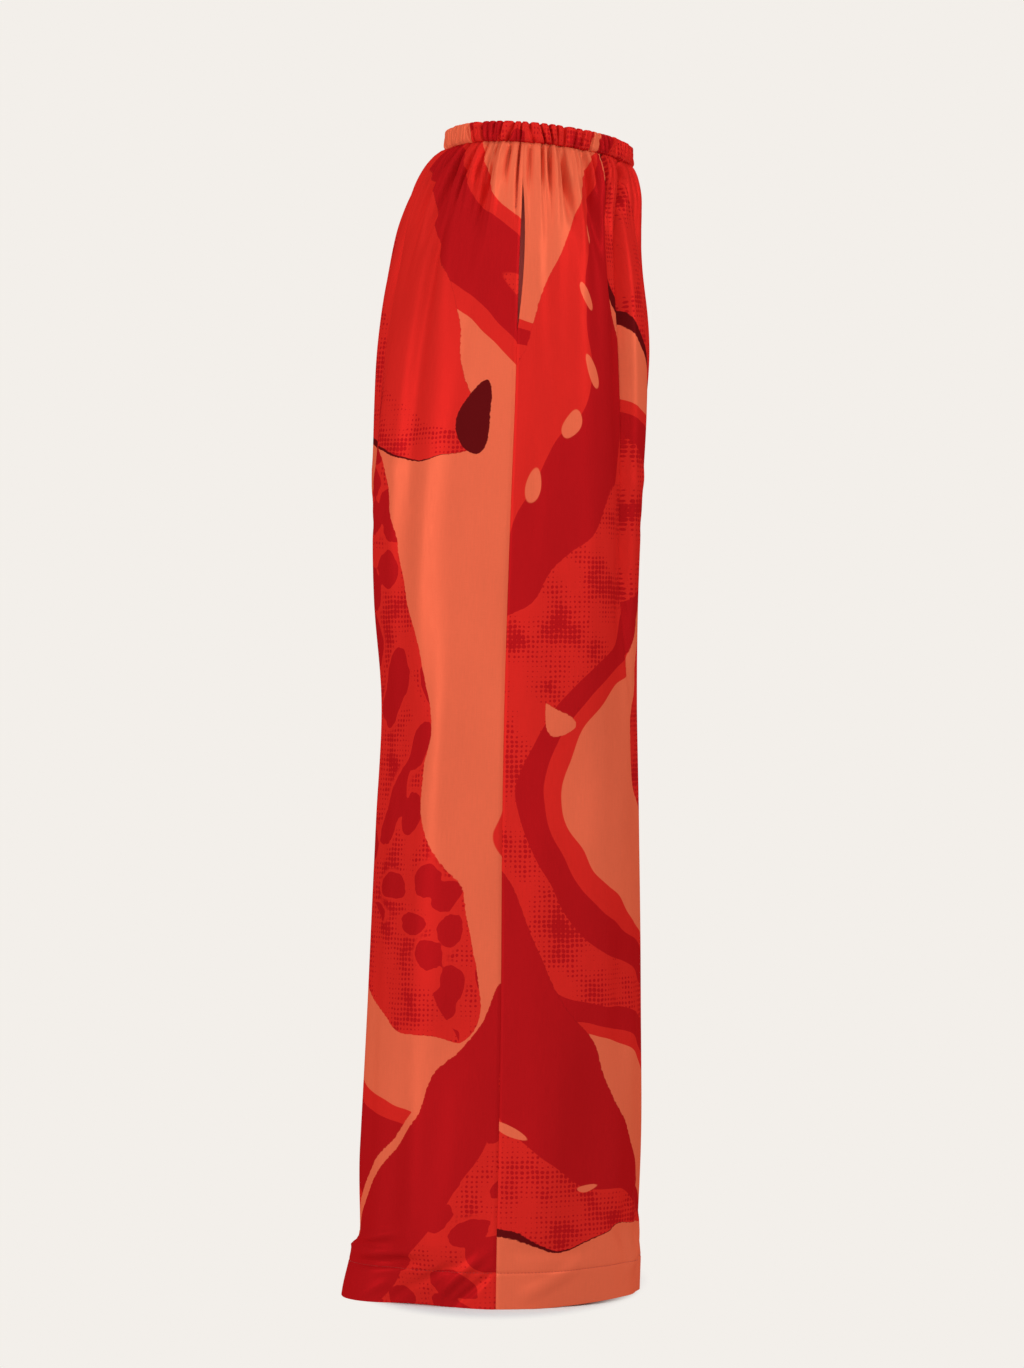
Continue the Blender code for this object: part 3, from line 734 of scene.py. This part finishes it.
def panel_grid(front, mirrored, shape):
    """Points of a panel's outer face, their flat places and the ways out from its plain section."""
    way, sign = (-1, 1) if front else (1, -1)
    shares = column_shares(hang_width(CROTCH_DROP, way))
    flat_width = max(hang_width(drop, way) for drop in SECTION.drop)
    cloth_x = sign * shares * flat_width
    rows, flat, ways_out = [], [], []
    for drop in row_drops():
        distance, points, normals = leg_line(drop)
        length = distance[-1] if front else -distance[0]
        places = column_places(shares, drop, length, way)
        share = sign * places / hang_width(drop, way)
        push = gather_wave(share, drop) + flame_depth(share, drop, shape.flames)
        push += fold_depth(share, drop, shape.folds) + roll_depth(share, drop, shape.rolls)
        push += break_depth(share, drop, shape.breaks) + fold_depth(share, drop, shape.fine)
        push += crease_depth(share, drop, shape.creases, flat_width)
        push += ripple_depth(cloth_x, drop, shape.ripples) * smooth((drop - RIPPLES_FROM) / RIPPLES_IN)
        push += pucker_depth(share, drop, mirrored)
        tucked = band_swell(waist_place(share, mirrored), -1.0, TUCK_WAVE)[0] - TUCK_IN
        push = tucked + (push - tucked) * smooth((drop - BAND_HEIGHT / 2 + TUCK) / TUCK_FADE)
        push += groove(places, SEAM_WIDTH, SEAM_SINK) + groove(length - places, SEAM_WIDTH, SEAM_SINK)
        push += groove(drop - HEM_STITCH_DROP, *HEM_GROOVE)
        if not front and TOPSTITCH_TOP < drop < TOPSTITCH_BOTTOM:
            push += sum(groove(places - place, *STITCH_GROOVE) for place in TOPSTITCH_PLACES)
        if front:
            places = places + slit_gape(drop) * (1 - smooth(places / SLIT_SPREAD))
        out = read(sign * places, distance, normals)
        if drop < CROTCH_DROP:
            out[-1, 0] = 0
        ways_out.append(unit(out))
        rows.append(read(sign * places, distance, points) + push[:, None] * ways_out[-1])
        flat.append(np.column_stack([cloth_x, np.full_like(cloth_x, drop)]))
    grids = np.array(rows), np.array(flat), np.array(ways_out)
    grids[0][:, :, 0] = np.maximum(grids[0][:, :, 0], SEAM_MEET)
    return grids if front else [grid[:, ::-1] for grid in grids]


def shell(grid, flat, ways_out, thickness, mirrored):
    """A thin closed wall on a grid: points, quads, their corners' flat places, and how many of the
    quads are its outer face's. thickness is one number for each row."""
    rows, columns, _ = grid.shape
    inner = grid - ways_out * thickness[:, None, None]
    inner[:, :, 0] = np.maximum(inner[:, :, 0], SEAM_MEET)
    points = np.concatenate([grid.reshape(-1, 3), inner.reshape(-1, 3)])
    places = np.concatenate([flat.reshape(-1, 2)] * 2)
    index = np.arange(rows * columns).reshape(rows, columns)
    corners = index[:-1, :-1], index[:-1, 1:], index[1:, 1:], index[1:, :-1]
    outside = np.column_stack([corner.ravel() for corner in corners])
    inside = outside[:, [0, 3, 2, 1]] + rows * columns
    rim = np.concatenate([index[-1], index[::-1, -1][1:], index[0, ::-1][1:], index[1:-1, 0]])
    ahead = np.roll(rim, -1)
    edge = np.column_stack([rim, ahead, ahead + rows * columns, rim + rows * columns])
    points, quads = flip(points, np.concatenate([outside, inside, edge]), mirrored)
    return points, quads, places[quads], len(outside)


def placed(name, data):
    """A new object in the scene."""
    made = bpy.data.objects.new(name, data)
    bpy.context.scene.collection.objects.link(made)
    return made


def add_mesh(name, points, quads, materials, corners=None, inner_from=None):
    """A smooth mesh object, with the flat place of each quad's corners. Quads from inner_from on
    take the second material."""
    mesh = bpy.data.meshes.new(name)
    mesh.vertices.add(len(points))
    mesh.vertices.foreach_set("co", points.astype(np.float32).ravel())
    mesh.loops.add(quads.size)
    mesh.loops.foreach_set("vertex_index", quads.astype(np.int32).ravel())
    mesh.polygons.add(len(quads))
    mesh.polygons.foreach_set("loop_start", np.arange(0, quads.size, 4, dtype=np.int32))
    for made in materials:
        mesh.materials.append(made)
    if inner_from is not None:
        index = (np.arange(len(quads)) >= inner_from).astype(np.int32)
        mesh.polygons.foreach_set("material_index", index)
    mesh.update(calc_edges=True)
    if corners is not None:
        layer = mesh.uv_layers.new(name="cloth_uv")
        layer.data.foreach_set("uv", corners.astype(np.float32).ravel())
    mesh.validate()
    mesh.shade_smooth()
    return placed(name, mesh)


def bead_quads():
    """Quads of one stitch: a tube of rings of six points, closed at both ends."""
    sides = BEAD_SIDES
    last = sides * (BEAD_RINGS - 1)
    quads = [
        (start + s, start + (s + 1) % sides, start + sides + (s + 1) % sides, start + sides + s)
        for start in range(0, last, sides) for s in range(sides)
    ]
    ends = np.array([(0, 3, 2, 1), (0, 5, 4, 3), (5, 2, 3, 4), (5, 0, 1, 2)])
    ends[2:] += last
    return np.concatenate([quads, ends])


def stitches(path, normals):
    """Short stitches along a path on the cloth: points and quads of small bent beads of thread."""
    length = lengths(path)
    pitch = STITCH + STITCH_GAP
    count = np.arange(int(length[-1] / pitch))[:, None]
    arch = np.sin(np.linspace(0, math.pi, BEAD_RINGS))
    places = (count + 0.5) * pitch + STITCH * np.linspace(-0.5, 0.5, BEAD_RINGS)
    here = read(places.ravel(), length, path).reshape(*places.shape, 3)
    out = unit(read(places.ravel(), length, normals)).reshape(here.shape)
    aside = unit(np.cross(np.gradient(here, axis=1), out))
    turns = 2 * math.pi * np.arange(BEAD_SIDES)[:, None] / BEAD_SIDES
    ring = np.cos(turns) * out[:, :, None] + np.sin(turns) * aside[:, :, None]
    middle = here + out * (THREAD * (BEAD_ARCH * arch - BEAD_SUNK))[:, None]
    thick = THREAD * (BEAD_END + (1 - BEAD_END) * arch)
    points = middle[:, :, None] + thick[:, None, None] * ring
    quads = bead_quads() + count[:, :, None] * BEAD_RINGS * BEAD_SIDES
    return points.reshape(-1, 3), quads.reshape(-1, 4)


def joined(parts):
    """Several (points, quads) as one."""
    points, quads, start = [], [], 0
    for some, faces in parts:
        points.append(some)
        quads.append(faces + start)
        start += len(some)
    return np.concatenate(points), np.concatenate(quads)


def eased(values, reach):
    """The lowest of the values up to so many places away, and the mean of these."""
    for take in (np.min, np.mean):
        values = np.pad(values, reach, mode="edge")
        values = take(np.lib.stride_tricks.sliding_window_view(values, 2 * reach + 1), axis=1)
    return values


def between(rows, places):
    """A table's rows, read smoothly at places between them: 0 is the first row."""
    rows = np.array(rows)
    knots = np.arange(len(rows), dtype=float)
    return np.array([[through(knots, column, place) for column in rows.T] for place in places])


def bag_grid(shape, mirrored):
    """Points and flat places of a pocket bag's folded sheet, on its middle. It follows the panels
    where it is sewn to them, and hangs clear of their folds elsewhere."""
    last = len(BAG_CHAIN) - 1
    finer = np.linspace(0, last, BAG_STEPS * last + 1)
    forward, depth, gives = between(BAG_CHAIN, finer).T
    cloth = lengths(np.column_stack([forward, depth]))
    rows, flat = [], []
    for drop in np.linspace(BAG_TOP, BAG_BOTTOM, BAG_ROWS):
        narrow = 1 - BAG_NARROW * smooth((drop - BAG_NARROW_FROM) / (BAG_BOTTOM - BAG_NARROW_FROM))
        middle = np.where(forward > BAG_HEM, forward * narrow, forward)
        middle = middle + slit_gape(drop) * (1 - smooth(finer / 2))
        distance, points, normals = leg_line(drop)
        room = gives * (np.interp(drop, GATHER.drop, GATHER.depth) + BAG_ROOM * (drop < BAG_ROOM_TO))
        share = hang_share(middle, drop)
        troughs = fold_depth(share, drop, shape.folds) + flame_depth(share, drop, shape.flames)
        troughs += roll_depth(share, drop, shape.rolls)
        hung = eased(np.minimum(troughs, 0), BAG_EASE)
        hung -= BAG_CLEAR * np.interp(drop, GATHER.drop, GATHER.pucker)
        sewn = troughs + pucker_depth(share, drop, mirrored)
        troughs = sewn + (hung - sewn) * gives
        ripple = BAG_RIPPLE * np.sin(70 * drop + 25 * cloth) * gives
        inwards = (depth + room - troughs + ripple)[:, None]
        out = unit(read(middle, distance, normals))
        rows.append(read(middle, distance, points) - out * inwards)
        flat.append(np.column_stack([cloth, np.full_like(cloth, drop)]))
    return np.array(rows), np.array(flat)


def waist_ring(count):
    """Evenly spaced points (x, y) round the waist, from the centre back over the left side, and
    the way out from each, and the length round."""
    left = leg_line(0.0)[1][:, :2]
    whole = np.concatenate([left, left[-2:0:-1] * (-1, 1), left[:1]])
    length = lengths(whole)
    ring = read(np.arange(count) * length[-1] / count, length, whole)
    ahead = np.roll(ring, -1, axis=0) - np.roll(ring, 1, axis=0)
    return ring, unit(np.column_stack([-ahead[:, 1], ahead[:, 0]])), length[-1]


def band_rows():
    """The band's section, made finer: level, stand-off and share of the gathers."""
    around = [*BAND_SECTION[-2:], *BAND_SECTION, *BAND_SECTION[:3]]
    return between(around, 2 + np.arange(len(BAND_SECTION) * BAND_ROUND) / BAND_ROUND)


def band_surface():
    """The waistband's points, a row for each place of its section, its cloth's length round, and
    how far round its section each row is."""
    count = BAND_GATHERS * BAND_GATHER_POINTS
    ring, out, length = waist_ring(count)
    rows = []
    section_rows = band_rows()
    for level, stand, share in section_rows:
        swell, puff = band_swell(np.arange(count) / count, level, share)
        spot = ring + out * (stand + swell)[:, None]
        ruffle = BAND_RUFFLE * (puff - 1) * smooth((level - 0.5) / 0.5)
        z = level * BAND_HEIGHT / 2 + height(0.0, ring[:, 1]) + ruffle
        rows.append(np.column_stack([spot, z]))
    closed = np.vstack([section_rows, section_rows[:1]])[:, :2]
    return np.array(rows), length * BAND_FULLNESS, lengths(closed * (BAND_HEIGHT / 2, 1))


def ring_quads(rows, count, length, down):
    """Quads of a closed ring whose section is closed too, and their corners' flat places."""
    k, i = np.meshgrid(np.arange(rows), np.arange(count), indexing="ij")
    k, i = k.ravel(), i.ravel()
    j, low, high = (i + 1) % count, k * count, (k + 1) % rows * count
    quads = np.column_stack([low + i, high + i, high + j, low + j])
    across = np.column_stack([i, i, i + 1, i + 1]) * length / count
    along = np.column_stack([down[k], down[k + 1], down[k + 1], down[k]])
    return quads, np.stack([across, along], axis=2)


class Nodes:
    """Short names for making and linking shader nodes."""

    def __init__(self, tree):
        self.tree = tree

    def fill(self, node, inputs):
        """Puts numbers or links into a node's inputs, by name or place."""
        for name, value in inputs.items():
            if isinstance(value, bpy.types.NodeSocket):
                self.tree.links.new(value, node.inputs[name])
            else:
                node.inputs[name].default_value = value

    def add(self, kind, inputs=None, **settings):
        node = self.tree.nodes.new(kind)
        for name, value in settings.items():
            setattr(node, name, value)
        self.fill(node, inputs or {})
        return node

    def math(self, operation, *values, kind="ShaderNodeMath"):
        return self.add(kind, dict(enumerate(values)), operation=operation).outputs[0]

    def vector(self, operation, *values):
        return self.math(operation, *values, kind="ShaderNodeVectorMath")

    plus = partialmethod(math, "ADD")
    minus = partialmethod(math, "SUBTRACT")
    times = partialmethod(math, "MULTIPLY")
    times_plus = partialmethod(math, "MULTIPLY_ADD")

    def colour(self, share, a, b, blend="MIX"):
        """b over a. The mix node's colours are its inputs 6 and 7 and its output 2."""
        inputs = {0: share, 6: a, 7: b}
        return self.add("ShaderNodeMix", inputs, data_type="RGBA", blend_type=blend).outputs[2]

    def noise(self, place, scale, detail=2.0, stretch=None):
        if stretch:
            place = self.vector("MULTIPLY", place, stretch)
        inputs = {"Vector": place, "Scale": scale, "Detail": detail}
        return self.add("ShaderNodeTexNoise", inputs, noise_dimensions="2D").outputs

    def ramp(self, value, *limits):
        """value from one limit to the next, smoothly made 0 to 1, or the third limit to the fourth."""
        inputs = dict(enumerate((value, *limits)))
        return self.add("ShaderNodeMapRange", inputs, interpolation_type="SMOOTHSTEP").outputs[0]

    def laid(self, colour, value, ink, soft=0.0005, level=0.0):
        """The ink over the colour where value is above level."""
        return self.colour(self.ramp(value, level - soft, level + soft), colour, ink)

    def parts(self, vector):
        return self.add("ShaderNodeSeparateXYZ", {0: vector}).outputs[:2]

    def bump(self, strength, distance, tall, normal=None):
        """The way out of a surface with small dents."""
        inputs = {"Strength": strength, "Distance": distance, "Height": tall}
        if normal:
            inputs["Normal"] = normal
        return self.add("ShaderNodeBump", inputs).outputs[0]


def new_group(name, inputs, outputs):
    """An empty shader group with these sockets and their kinds."""
    tree = bpy.data.node_groups.new(name, "ShaderNodeTree")
    for way, sockets in (("INPUT", inputs), ("OUTPUT", outputs)):
        for socket, kind in sockets.items():
            tree.interface.new_socket(socket, in_out=way, socket_type=f"NodeSocket{kind}")
    nodes = Nodes(tree)
    return tree, nodes, nodes.add("NodeGroupInput").outputs, nodes.add("NodeGroupOutput")


def new_material(name):
    """A material, its nodes, its shader and its output."""
    made = bpy.data.materials.new(name)
    made.use_nodes = True
    nodes = made.node_tree.nodes
    return made, Nodes(made.node_tree), nodes["Principled BSDF"], nodes["Material Output"]


def motif_group():
    """A bending leaf or pebble that repeats over the cloth: how far a point is inside it, how far
    off its vein, and how far along it."""
    inputs = {"Place": "Vector", "Centre": "Vector", "Angle": "Float"}
    inputs.update({name: "Float" for name in MOTIF_NUMBERS})
    outputs = {"Inside": "Float", "Across": "Float", "Along": "Float"}
    tree, n, given, out = new_group("motif", inputs, outputs)
    half = [r / 2 for r in REPEAT]
    away = n.vector("SUBTRACT", given["Place"], given["Centre"])
    away = n.vector("WRAP", away, half, [-h for h in half])
    back = n.times(given["Angle"], -1.0)
    turn = n.add("ShaderNodeVectorRotate", rotation_type="Z_AXIS")
    n.fill(turn, {"Vector": away, "Angle": back})
    along, across = n.parts(turn.outputs[0])
    along = n.math("DIVIDE", along, given["Half length"])
    left = n.minus(1.0, n.times(along, along))
    rest = n.math("MAXIMUM", left, 0.0)
    bend = n.times(given["Bend"], given["Half length"])
    across = n.minus(across, n.times(bend, rest))
    full = n.times(n.math("POWER", rest, given["Power"]), given["Half width"])
    full = n.times(full, n.times_plus(along, MOTIF_LOPSIDED, 1.0))
    inside = n.minus(full, n.math("ABSOLUTE", across))
    past = n.times(n.math("MINIMUM", left, 0.0), given["Half length"])
    inside = n.plus(inside, n.times(past, 0.6))
    n.fill(out, {"Inside": inside, "Across": across, "Along": along})
    return tree


def halftone(n, place):
    """Rows of small dots that swell and shrink over the cloth: 1 in a dot."""
    jitter = n.vector("SUBTRACT", n.noise(place, 90.0, 1.0)["Color"], MIDDLE)
    place = n.vector("ADD", place, n.vector("MULTIPLY", jitter, (DOT_JITTER, DOT_JITTER, 0)))
    cells = n.vector("FRACTION", n.vector("MULTIPLY", place, (1 / DOT_PITCH,) * 3))
    x, y = n.parts(n.vector("SUBTRACT", cells, MIDDLE))
    spot = n.math("SQRT", n.times_plus(x, x, n.times(y, y)))
    size = n.times(n.minus(n.noise(place, 26.0)[0], 0.36), 1.5)
    return n.ramp(n.minus(size, spot), -0.06, 0.06)


def pebbled(n, place, dots):
    """Crimson pebbles on vermilion, dotted between them."""
    inputs = {"Vector": place, "Scale": PEBBLE_SCALE, "Smoothness": 0.35, "Randomness": 0.8}
    cells = n.add("ShaderNodeTexVoronoi", voronoi_dimensions="2D", feature="SMOOTH_F1")
    n.fill(cells, inputs)
    away = n.times_plus(n.noise(place, 45.0)[0], 0.22, cells.outputs["Distance"])
    between_them = n.colour(n.times(dots, n.ramp(away, 0.50, 0.60)), VERMILION, CRIMSON)
    return n.colour(n.ramp(away, 0.465, 0.455), between_them, CRIMSON)


def print_group():
    """The printed design: long bending leaves and pebbles over wide ribbons, some of them dotted."""
    tree, n, given, out = new_group("flowing_print", {"Place": "Vector"}, {"Colour": "Color"})
    place = warped = given["Place"]
    for scale, reach in WARPS:
        drift = n.vector("SUBTRACT", n.noise(place, scale, 1.0)["Color"], MIDDLE)
        warped = n.vector("ADD", warped, n.vector("MULTIPLY", drift, (reach, reach, 0)))
    ragged = n.times(n.minus(n.noise(place, 260.0)[0], 0.5), RAGGED)
    dots = halftone(n, place)
    inks = dict(INKS, dotted=n.colour(dots, VERMILION, CRIMSON), pebbled=pebbled(n, warped, dots))

    x, y = n.parts(warped)
    turn = n.minus(n.math("DIVIDE", x, REPEAT[0]), n.math("DIVIDE", y, REPEAT[1]))
    sway = n.math("SINE", n.times(y, 4 * math.pi / REPEAT[1]))
    turn = n.times_plus(turn, 2 * math.pi, n.times(sway, 1.5))
    bias = n.math("COSINE", n.times(y, 2 * math.pi / REPEAT[1]))
    ribbon = n.times_plus(bias, -BIAS, n.math("SINE", turn))
    colour = CORAL
    for level, ink in RIBBONS:
        colour = n.laid(colour, ribbon, inks[ink], 0.004, level)

    motif = motif_group()
    for row in MOTIFS:
        leaf = SimpleNamespace(**dict(zip(MOTIF_COLUMNS, row)))
        inputs = {"Place": warped, "Centre": (leaf.x, leaf.y, 0), "Angle": math.radians(leaf.angle)}
        numbers = (leaf.half_length, leaf.half_width, leaf.bend, leaf.power)
        inputs.update(zip(MOTIF_NUMBERS, numbers))
        node = n.add("ShaderNodeGroup", node_tree=motif)
        n.fill(node, inputs)
        inside, across, along = node.outputs
        rough = n.plus(inside, ragged)
        rest = n.minus(1.0, n.times(along, along))
        if leaf.edge:
            thick = n.times(n.math("MAXIMUM", across, 0.0), rest)
            colour = n.laid(colour, n.times_plus(thick, EDGE_THICK, rough), INKS[leaf.edge])
        colour = n.laid(colour, rough, inks[leaf.near])
        if leaf.far != leaf.near:
            colour = n.laid(colour, n.math("MINIMUM", rough, across), inks[leaf.far])
        if leaf.seeds:
            spot = n.minus(n.math("FRACT", n.times(along, SEEDS)), 0.5)
            spot = n.times(spot, leaf.half_length / SEEDS / SEED_STRETCH)
            aside = n.plus(across, n.times(spot, 0.8))
            spot = n.math("SQRT", n.times_plus(spot, spot, n.times(aside, aside)))
            seed = n.minus(n.times(rest, SEED_SIZE), spot)
            seed = n.math("MINIMUM", seed, n.minus(inside, SEED_MARGIN))
            colour = n.laid(colour, seed, INKS[leaf.seeds], 0.0004)
    n.fill(out, {"Colour": colour})
    return tree


def satin(name, design, start, wrong_side=False):
    """Printed silk satin. The wrong side is paler and duller."""
    made, n, shader, _ = new_material(name)
    place = n.add("ShaderNodeUVMap", uv_map="cloth_uv").outputs[0]
    moved = n.vector("ADD", place, (*start, 0))
    colour = n.add("ShaderNodeGroup", node_tree=design)
    n.fill(colour, {0: moved})
    colour = colour.outputs[0]
    streaks = n.noise(place, 1.0, 3.0, (900.0, 60.0, 1))[0]
    wefts = n.noise(place, 1.0, 2.0, (110.0, 1400.0, 1))[0]
    tone = n.times_plus(streaks, 0.10, n.times_plus(wefts, 0.06, 0.86))
    tone = n.times_plus(n.noise(moved, 9.0)[0], 0.12, tone)
    rough = n.ramp(streaks, 0.25, 0.75, 0.42, 0.52)
    if wrong_side:
        colour = n.colour(0.22, colour, PALE)
        rough = 0.62
    weave = n.times_plus(streaks, 0.6, n.times(wefts, 0.4))
    crumples = n.noise(moved, 1.0, 3.0, (48.0, 14.0, 1))[0]
    n.fill(shader, {
        "Base Color": n.colour(1.0, colour, tone, "MULTIPLY"),
        "Roughness": rough,
        "Metallic": 0.20,
        "Specular IOR Level": 0.0,
        "Specular Tint": (1.0, 0.22, 0.14, 1),
        "Normal": n.bump(0.30, 0.0012, crumples, n.bump(0.35, 0.00012, weave)),
    })
    return made


def thread_material():
    """Dyed sewing thread, with its twist as bump."""
    made, n, shader, _ = new_material("thread")
    place = n.add("ShaderNodeNewGeometry").outputs["Position"]
    grain = n.add("ShaderNodeTexNoise", {"Vector": place, "Scale": 2400.0}).outputs[0]
    dyed = n.colour(grain, (0.30, 0.006, 0.008, 1), (0.52, 0.022, 0.016, 1))
    n.fill(shader, {"Base Color": dyed, "Roughness": 0.48, "Normal": n.bump(1.0, 0.00008, grain)})
    return made


def seam_line(grid, place, first, last):
    """Points a distance in from a back panel's side seam, between two drops, and the ways out."""
    normals = grid_normals(grid)
    drops = row_drops()
    path, out = [], []
    for row in np.nonzero((drops >= first) & (drops <= last))[0]:
        along = lengths(grid[row, ::-1])
        path.append(read([place], along, grid[row, ::-1])[0])
        out.append(read([place], along, normals[row, ::-1])[0])
    return np.array(path), np.array(out)


def flip(points, quads, mirrored):
    """Points and quads, mirrored to the other side where asked."""
    return (points * (-1, 1, 1), quads[:, ::-1]) if mirrored else (points, quads)


def leg_pieces(side, shape, finishes, thread):
    """The panels, pocket and stitching of one side."""
    mirrored = side == "right"
    drops = row_drops()
    hem_row = int(np.argmin(np.abs(drops - HEM_STITCH_DROP)))
    thickness = np.where(drops > HEM_STITCH_DROP - HEM_MARGIN, HEM_CLOTH, CLOTH)
    made, sewn = {}, []

    def add_shell(part, *walls):
        name = f"{part}_{side}"
        points, quads, corners, outside = shell(*walls, mirrored)
        made[name] = add_mesh(f"{name}_cloth", points, quads, finishes[name], corners, outside)

    for part in ("front", "back"):
        grid, flat, ways_out = panel_grid(part == "front", mirrored, shape)
        add_shell(part, grid, flat, ways_out, thickness)
        sewn.append(stitches(grid[hem_row], grid_normals(grid)[hem_row]))
        if part == "back":
            for place in TOPSTITCH_PLACES:
                sewn.append(stitches(*seam_line(grid, place, TOPSTITCH_TOP, TOPSTITCH_BOTTOM)))
    grid, flat = bag_grid(shape, mirrored)
    add_shell("pocket", grid, flat, grid_normals(grid), np.full(len(grid), BAG_CLOTH))
    made[f"stitching_{side}"] = add_mesh(f"stitching_{side}", *flip(*joined(sewn), mirrored), [thread])
    return made


def band_pieces(finish, thread):
    """The waistband and its stitching."""
    rows, length, down = band_surface()
    quads, corners = ring_quads(len(rows), rows.shape[1], length, down)
    band = add_mesh("waistband_cloth", rows.reshape(-1, 3), quads, finish, corners)
    levels = band_rows()[:, 0]
    outer = rows[int(np.argmin(np.abs(levels[: len(levels) // 2] - BAND_STITCH_LEVEL)))]
    line = np.concatenate([outer, outer[:1]])
    out = unit(np.cross(np.gradient(line, axis=0), (0.0, 0.0, 1.0)))
    return band, add_mesh("waistband_stitching", *stitches(line, out), [thread])


def studio():
    """The camera, lights, floor and backdrop."""
    scene = bpy.context.scene
    scene.view_settings.view_transform = "Standard"
    camera = bpy.data.cameras.new("camera")
    camera.sensor_fit = "VERTICAL"
    camera.sensor_height = FILM_HEIGHT_MM
    camera.lens = LENS_MM
    scene.camera = placed("camera", camera)
    scene.camera.location = CAMERA_PLACE
    scene.camera.rotation_euler = (math.pi / 2, 0, -math.pi / 2)

    world = bpy.data.worlds.new("studio")
    world.use_nodes = True
    air = Nodes(world.node_tree)
    air.fill(world.node_tree.nodes["Background"], {"Color": (1.0, 0.98, 0.96, 1), "Strength": 0.45})
    scene.world = world

    for name, place, size, power in LIGHTS:
        lamp = bpy.data.lights.new(name, "AREA")
        lamp.shape = "RECTANGLE"
        lamp.size, lamp.size_y = size
        lamp.energy = power
        light = placed(name, lamp)
        light.location = place
        light.rotation_euler = (Vector(LIGHT_AIM) - Vector(place)).to_track_quat("-Z", "Y").to_euler()
        light.visible_glossy = name != "far_side"

    bpy.ops.mesh.primitive_circle_add(vertices=128, radius=1.8, fill_type="NGON", location=(0, 0, FLOOR_Z))
    floor = bpy.context.object
    floor.name = "floor"
    paper, n, _, output = new_material("floor_paper")
    place = n.add("ShaderNodeNewGeometry").outputs["Position"]
    away = n.vector("SUBTRACT", place, (0, FOOTPRINT_MIDDLE, FLOOR_Z))
    away = n.vector("DIVIDE", away, (*FOOTPRINT, 1))
    away = n.add("ShaderNodeVectorMath", {0: away}, operation="LENGTH").outputs["Value"]
    glow = n.add("ShaderNodeEmission", {"Color": BACKGROUND}).outputs[0]
    matt = n.add("ShaderNodeBsdfDiffuse", {"Color": FLOOR}).outputs[0]
    share = n.ramp(away, 0.82, 1.00, 1.0, 0.0)
    n.fill(output, {0: n.add("ShaderNodeMixShader", {0: share, 1: glow, 2: matt}).outputs[0]})
    floor.data.materials.append(paper)
    floor.visible_diffuse = False

    bpy.ops.mesh.primitive_uv_sphere_add(segments=48, ring_count=24, radius=14)
    backdrop = bpy.context.object
    backdrop.name = "backdrop"
    paper, n, _, output = new_material("backdrop_paper")
    n.fill(output, {0: n.add("ShaderNodeEmission", {"Color": BACKGROUND}).outputs[0]})
    backdrop.data.materials.append(paper)
    for way in ("diffuse", "glossy", "transmission", "shadow"):
        setattr(backdrop, f"visible_{way}", False)


def side_shape(seed, folds, rolls, breaks, flames=1, fine=1, creases=1):
    """What shapes one side's cloth. The last three are factors of the shared tables' columns."""
    return SimpleNamespace(
        folds=named(FOLD_COLUMNS, (*folds, CENTRE_DRAW), parts=1000),
        fine=named(FOLD_COLUMNS, FINE_FOLDS, fine, 1000),
        flames=named(FLAME_COLUMNS, FLAMES, flames, 1000),
        rolls=named(ROLL_COLUMNS, rolls),
        breaks=named(BREAK_COLUMNS, breaks),
        creases=named(CREASE_COLUMNS, CREASES, creases, 1000),
        ripples=ripple_table(seed),
    )


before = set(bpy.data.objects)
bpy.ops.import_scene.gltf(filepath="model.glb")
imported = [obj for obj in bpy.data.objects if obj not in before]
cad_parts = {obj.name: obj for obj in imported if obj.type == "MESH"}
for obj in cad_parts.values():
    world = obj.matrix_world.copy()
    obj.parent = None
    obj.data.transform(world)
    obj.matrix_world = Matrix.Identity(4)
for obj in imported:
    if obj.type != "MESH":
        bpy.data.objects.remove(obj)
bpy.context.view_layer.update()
studio()

design = print_group()
finishes = {
    name: [
        satin(f"{name}_right_side", design, start),
        satin(f"{name}_wrong_side", design, start, wrong_side=True),
    ]
    for name, start in PRINT_STARTS.items()
}
thread = thread_material()

band, band_sewing = band_pieces(finishes["waistband"], thread)
pieces = {"waistband": band}
SHAPES = {
    "right": side_shape(11, RIGHT_FOLDS, RIGHT_ROLLS, RIGHT_BREAKS),
    "left": side_shape(
        23, LEFT_FOLDS, LEFT_ROLLS, LEFT_BREAKS, LEFT_FLAMES, LEFT_FINE_FOLDS, LEFT_CREASES
    ),
}
for side, shape in SHAPES.items():
    pieces.update(leg_pieces(side, shape, finishes, thread))

for name, piece in {**pieces, "waistband_stitching": band_sewing}.items():
    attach(piece, "root")
    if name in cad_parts:
        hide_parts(name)
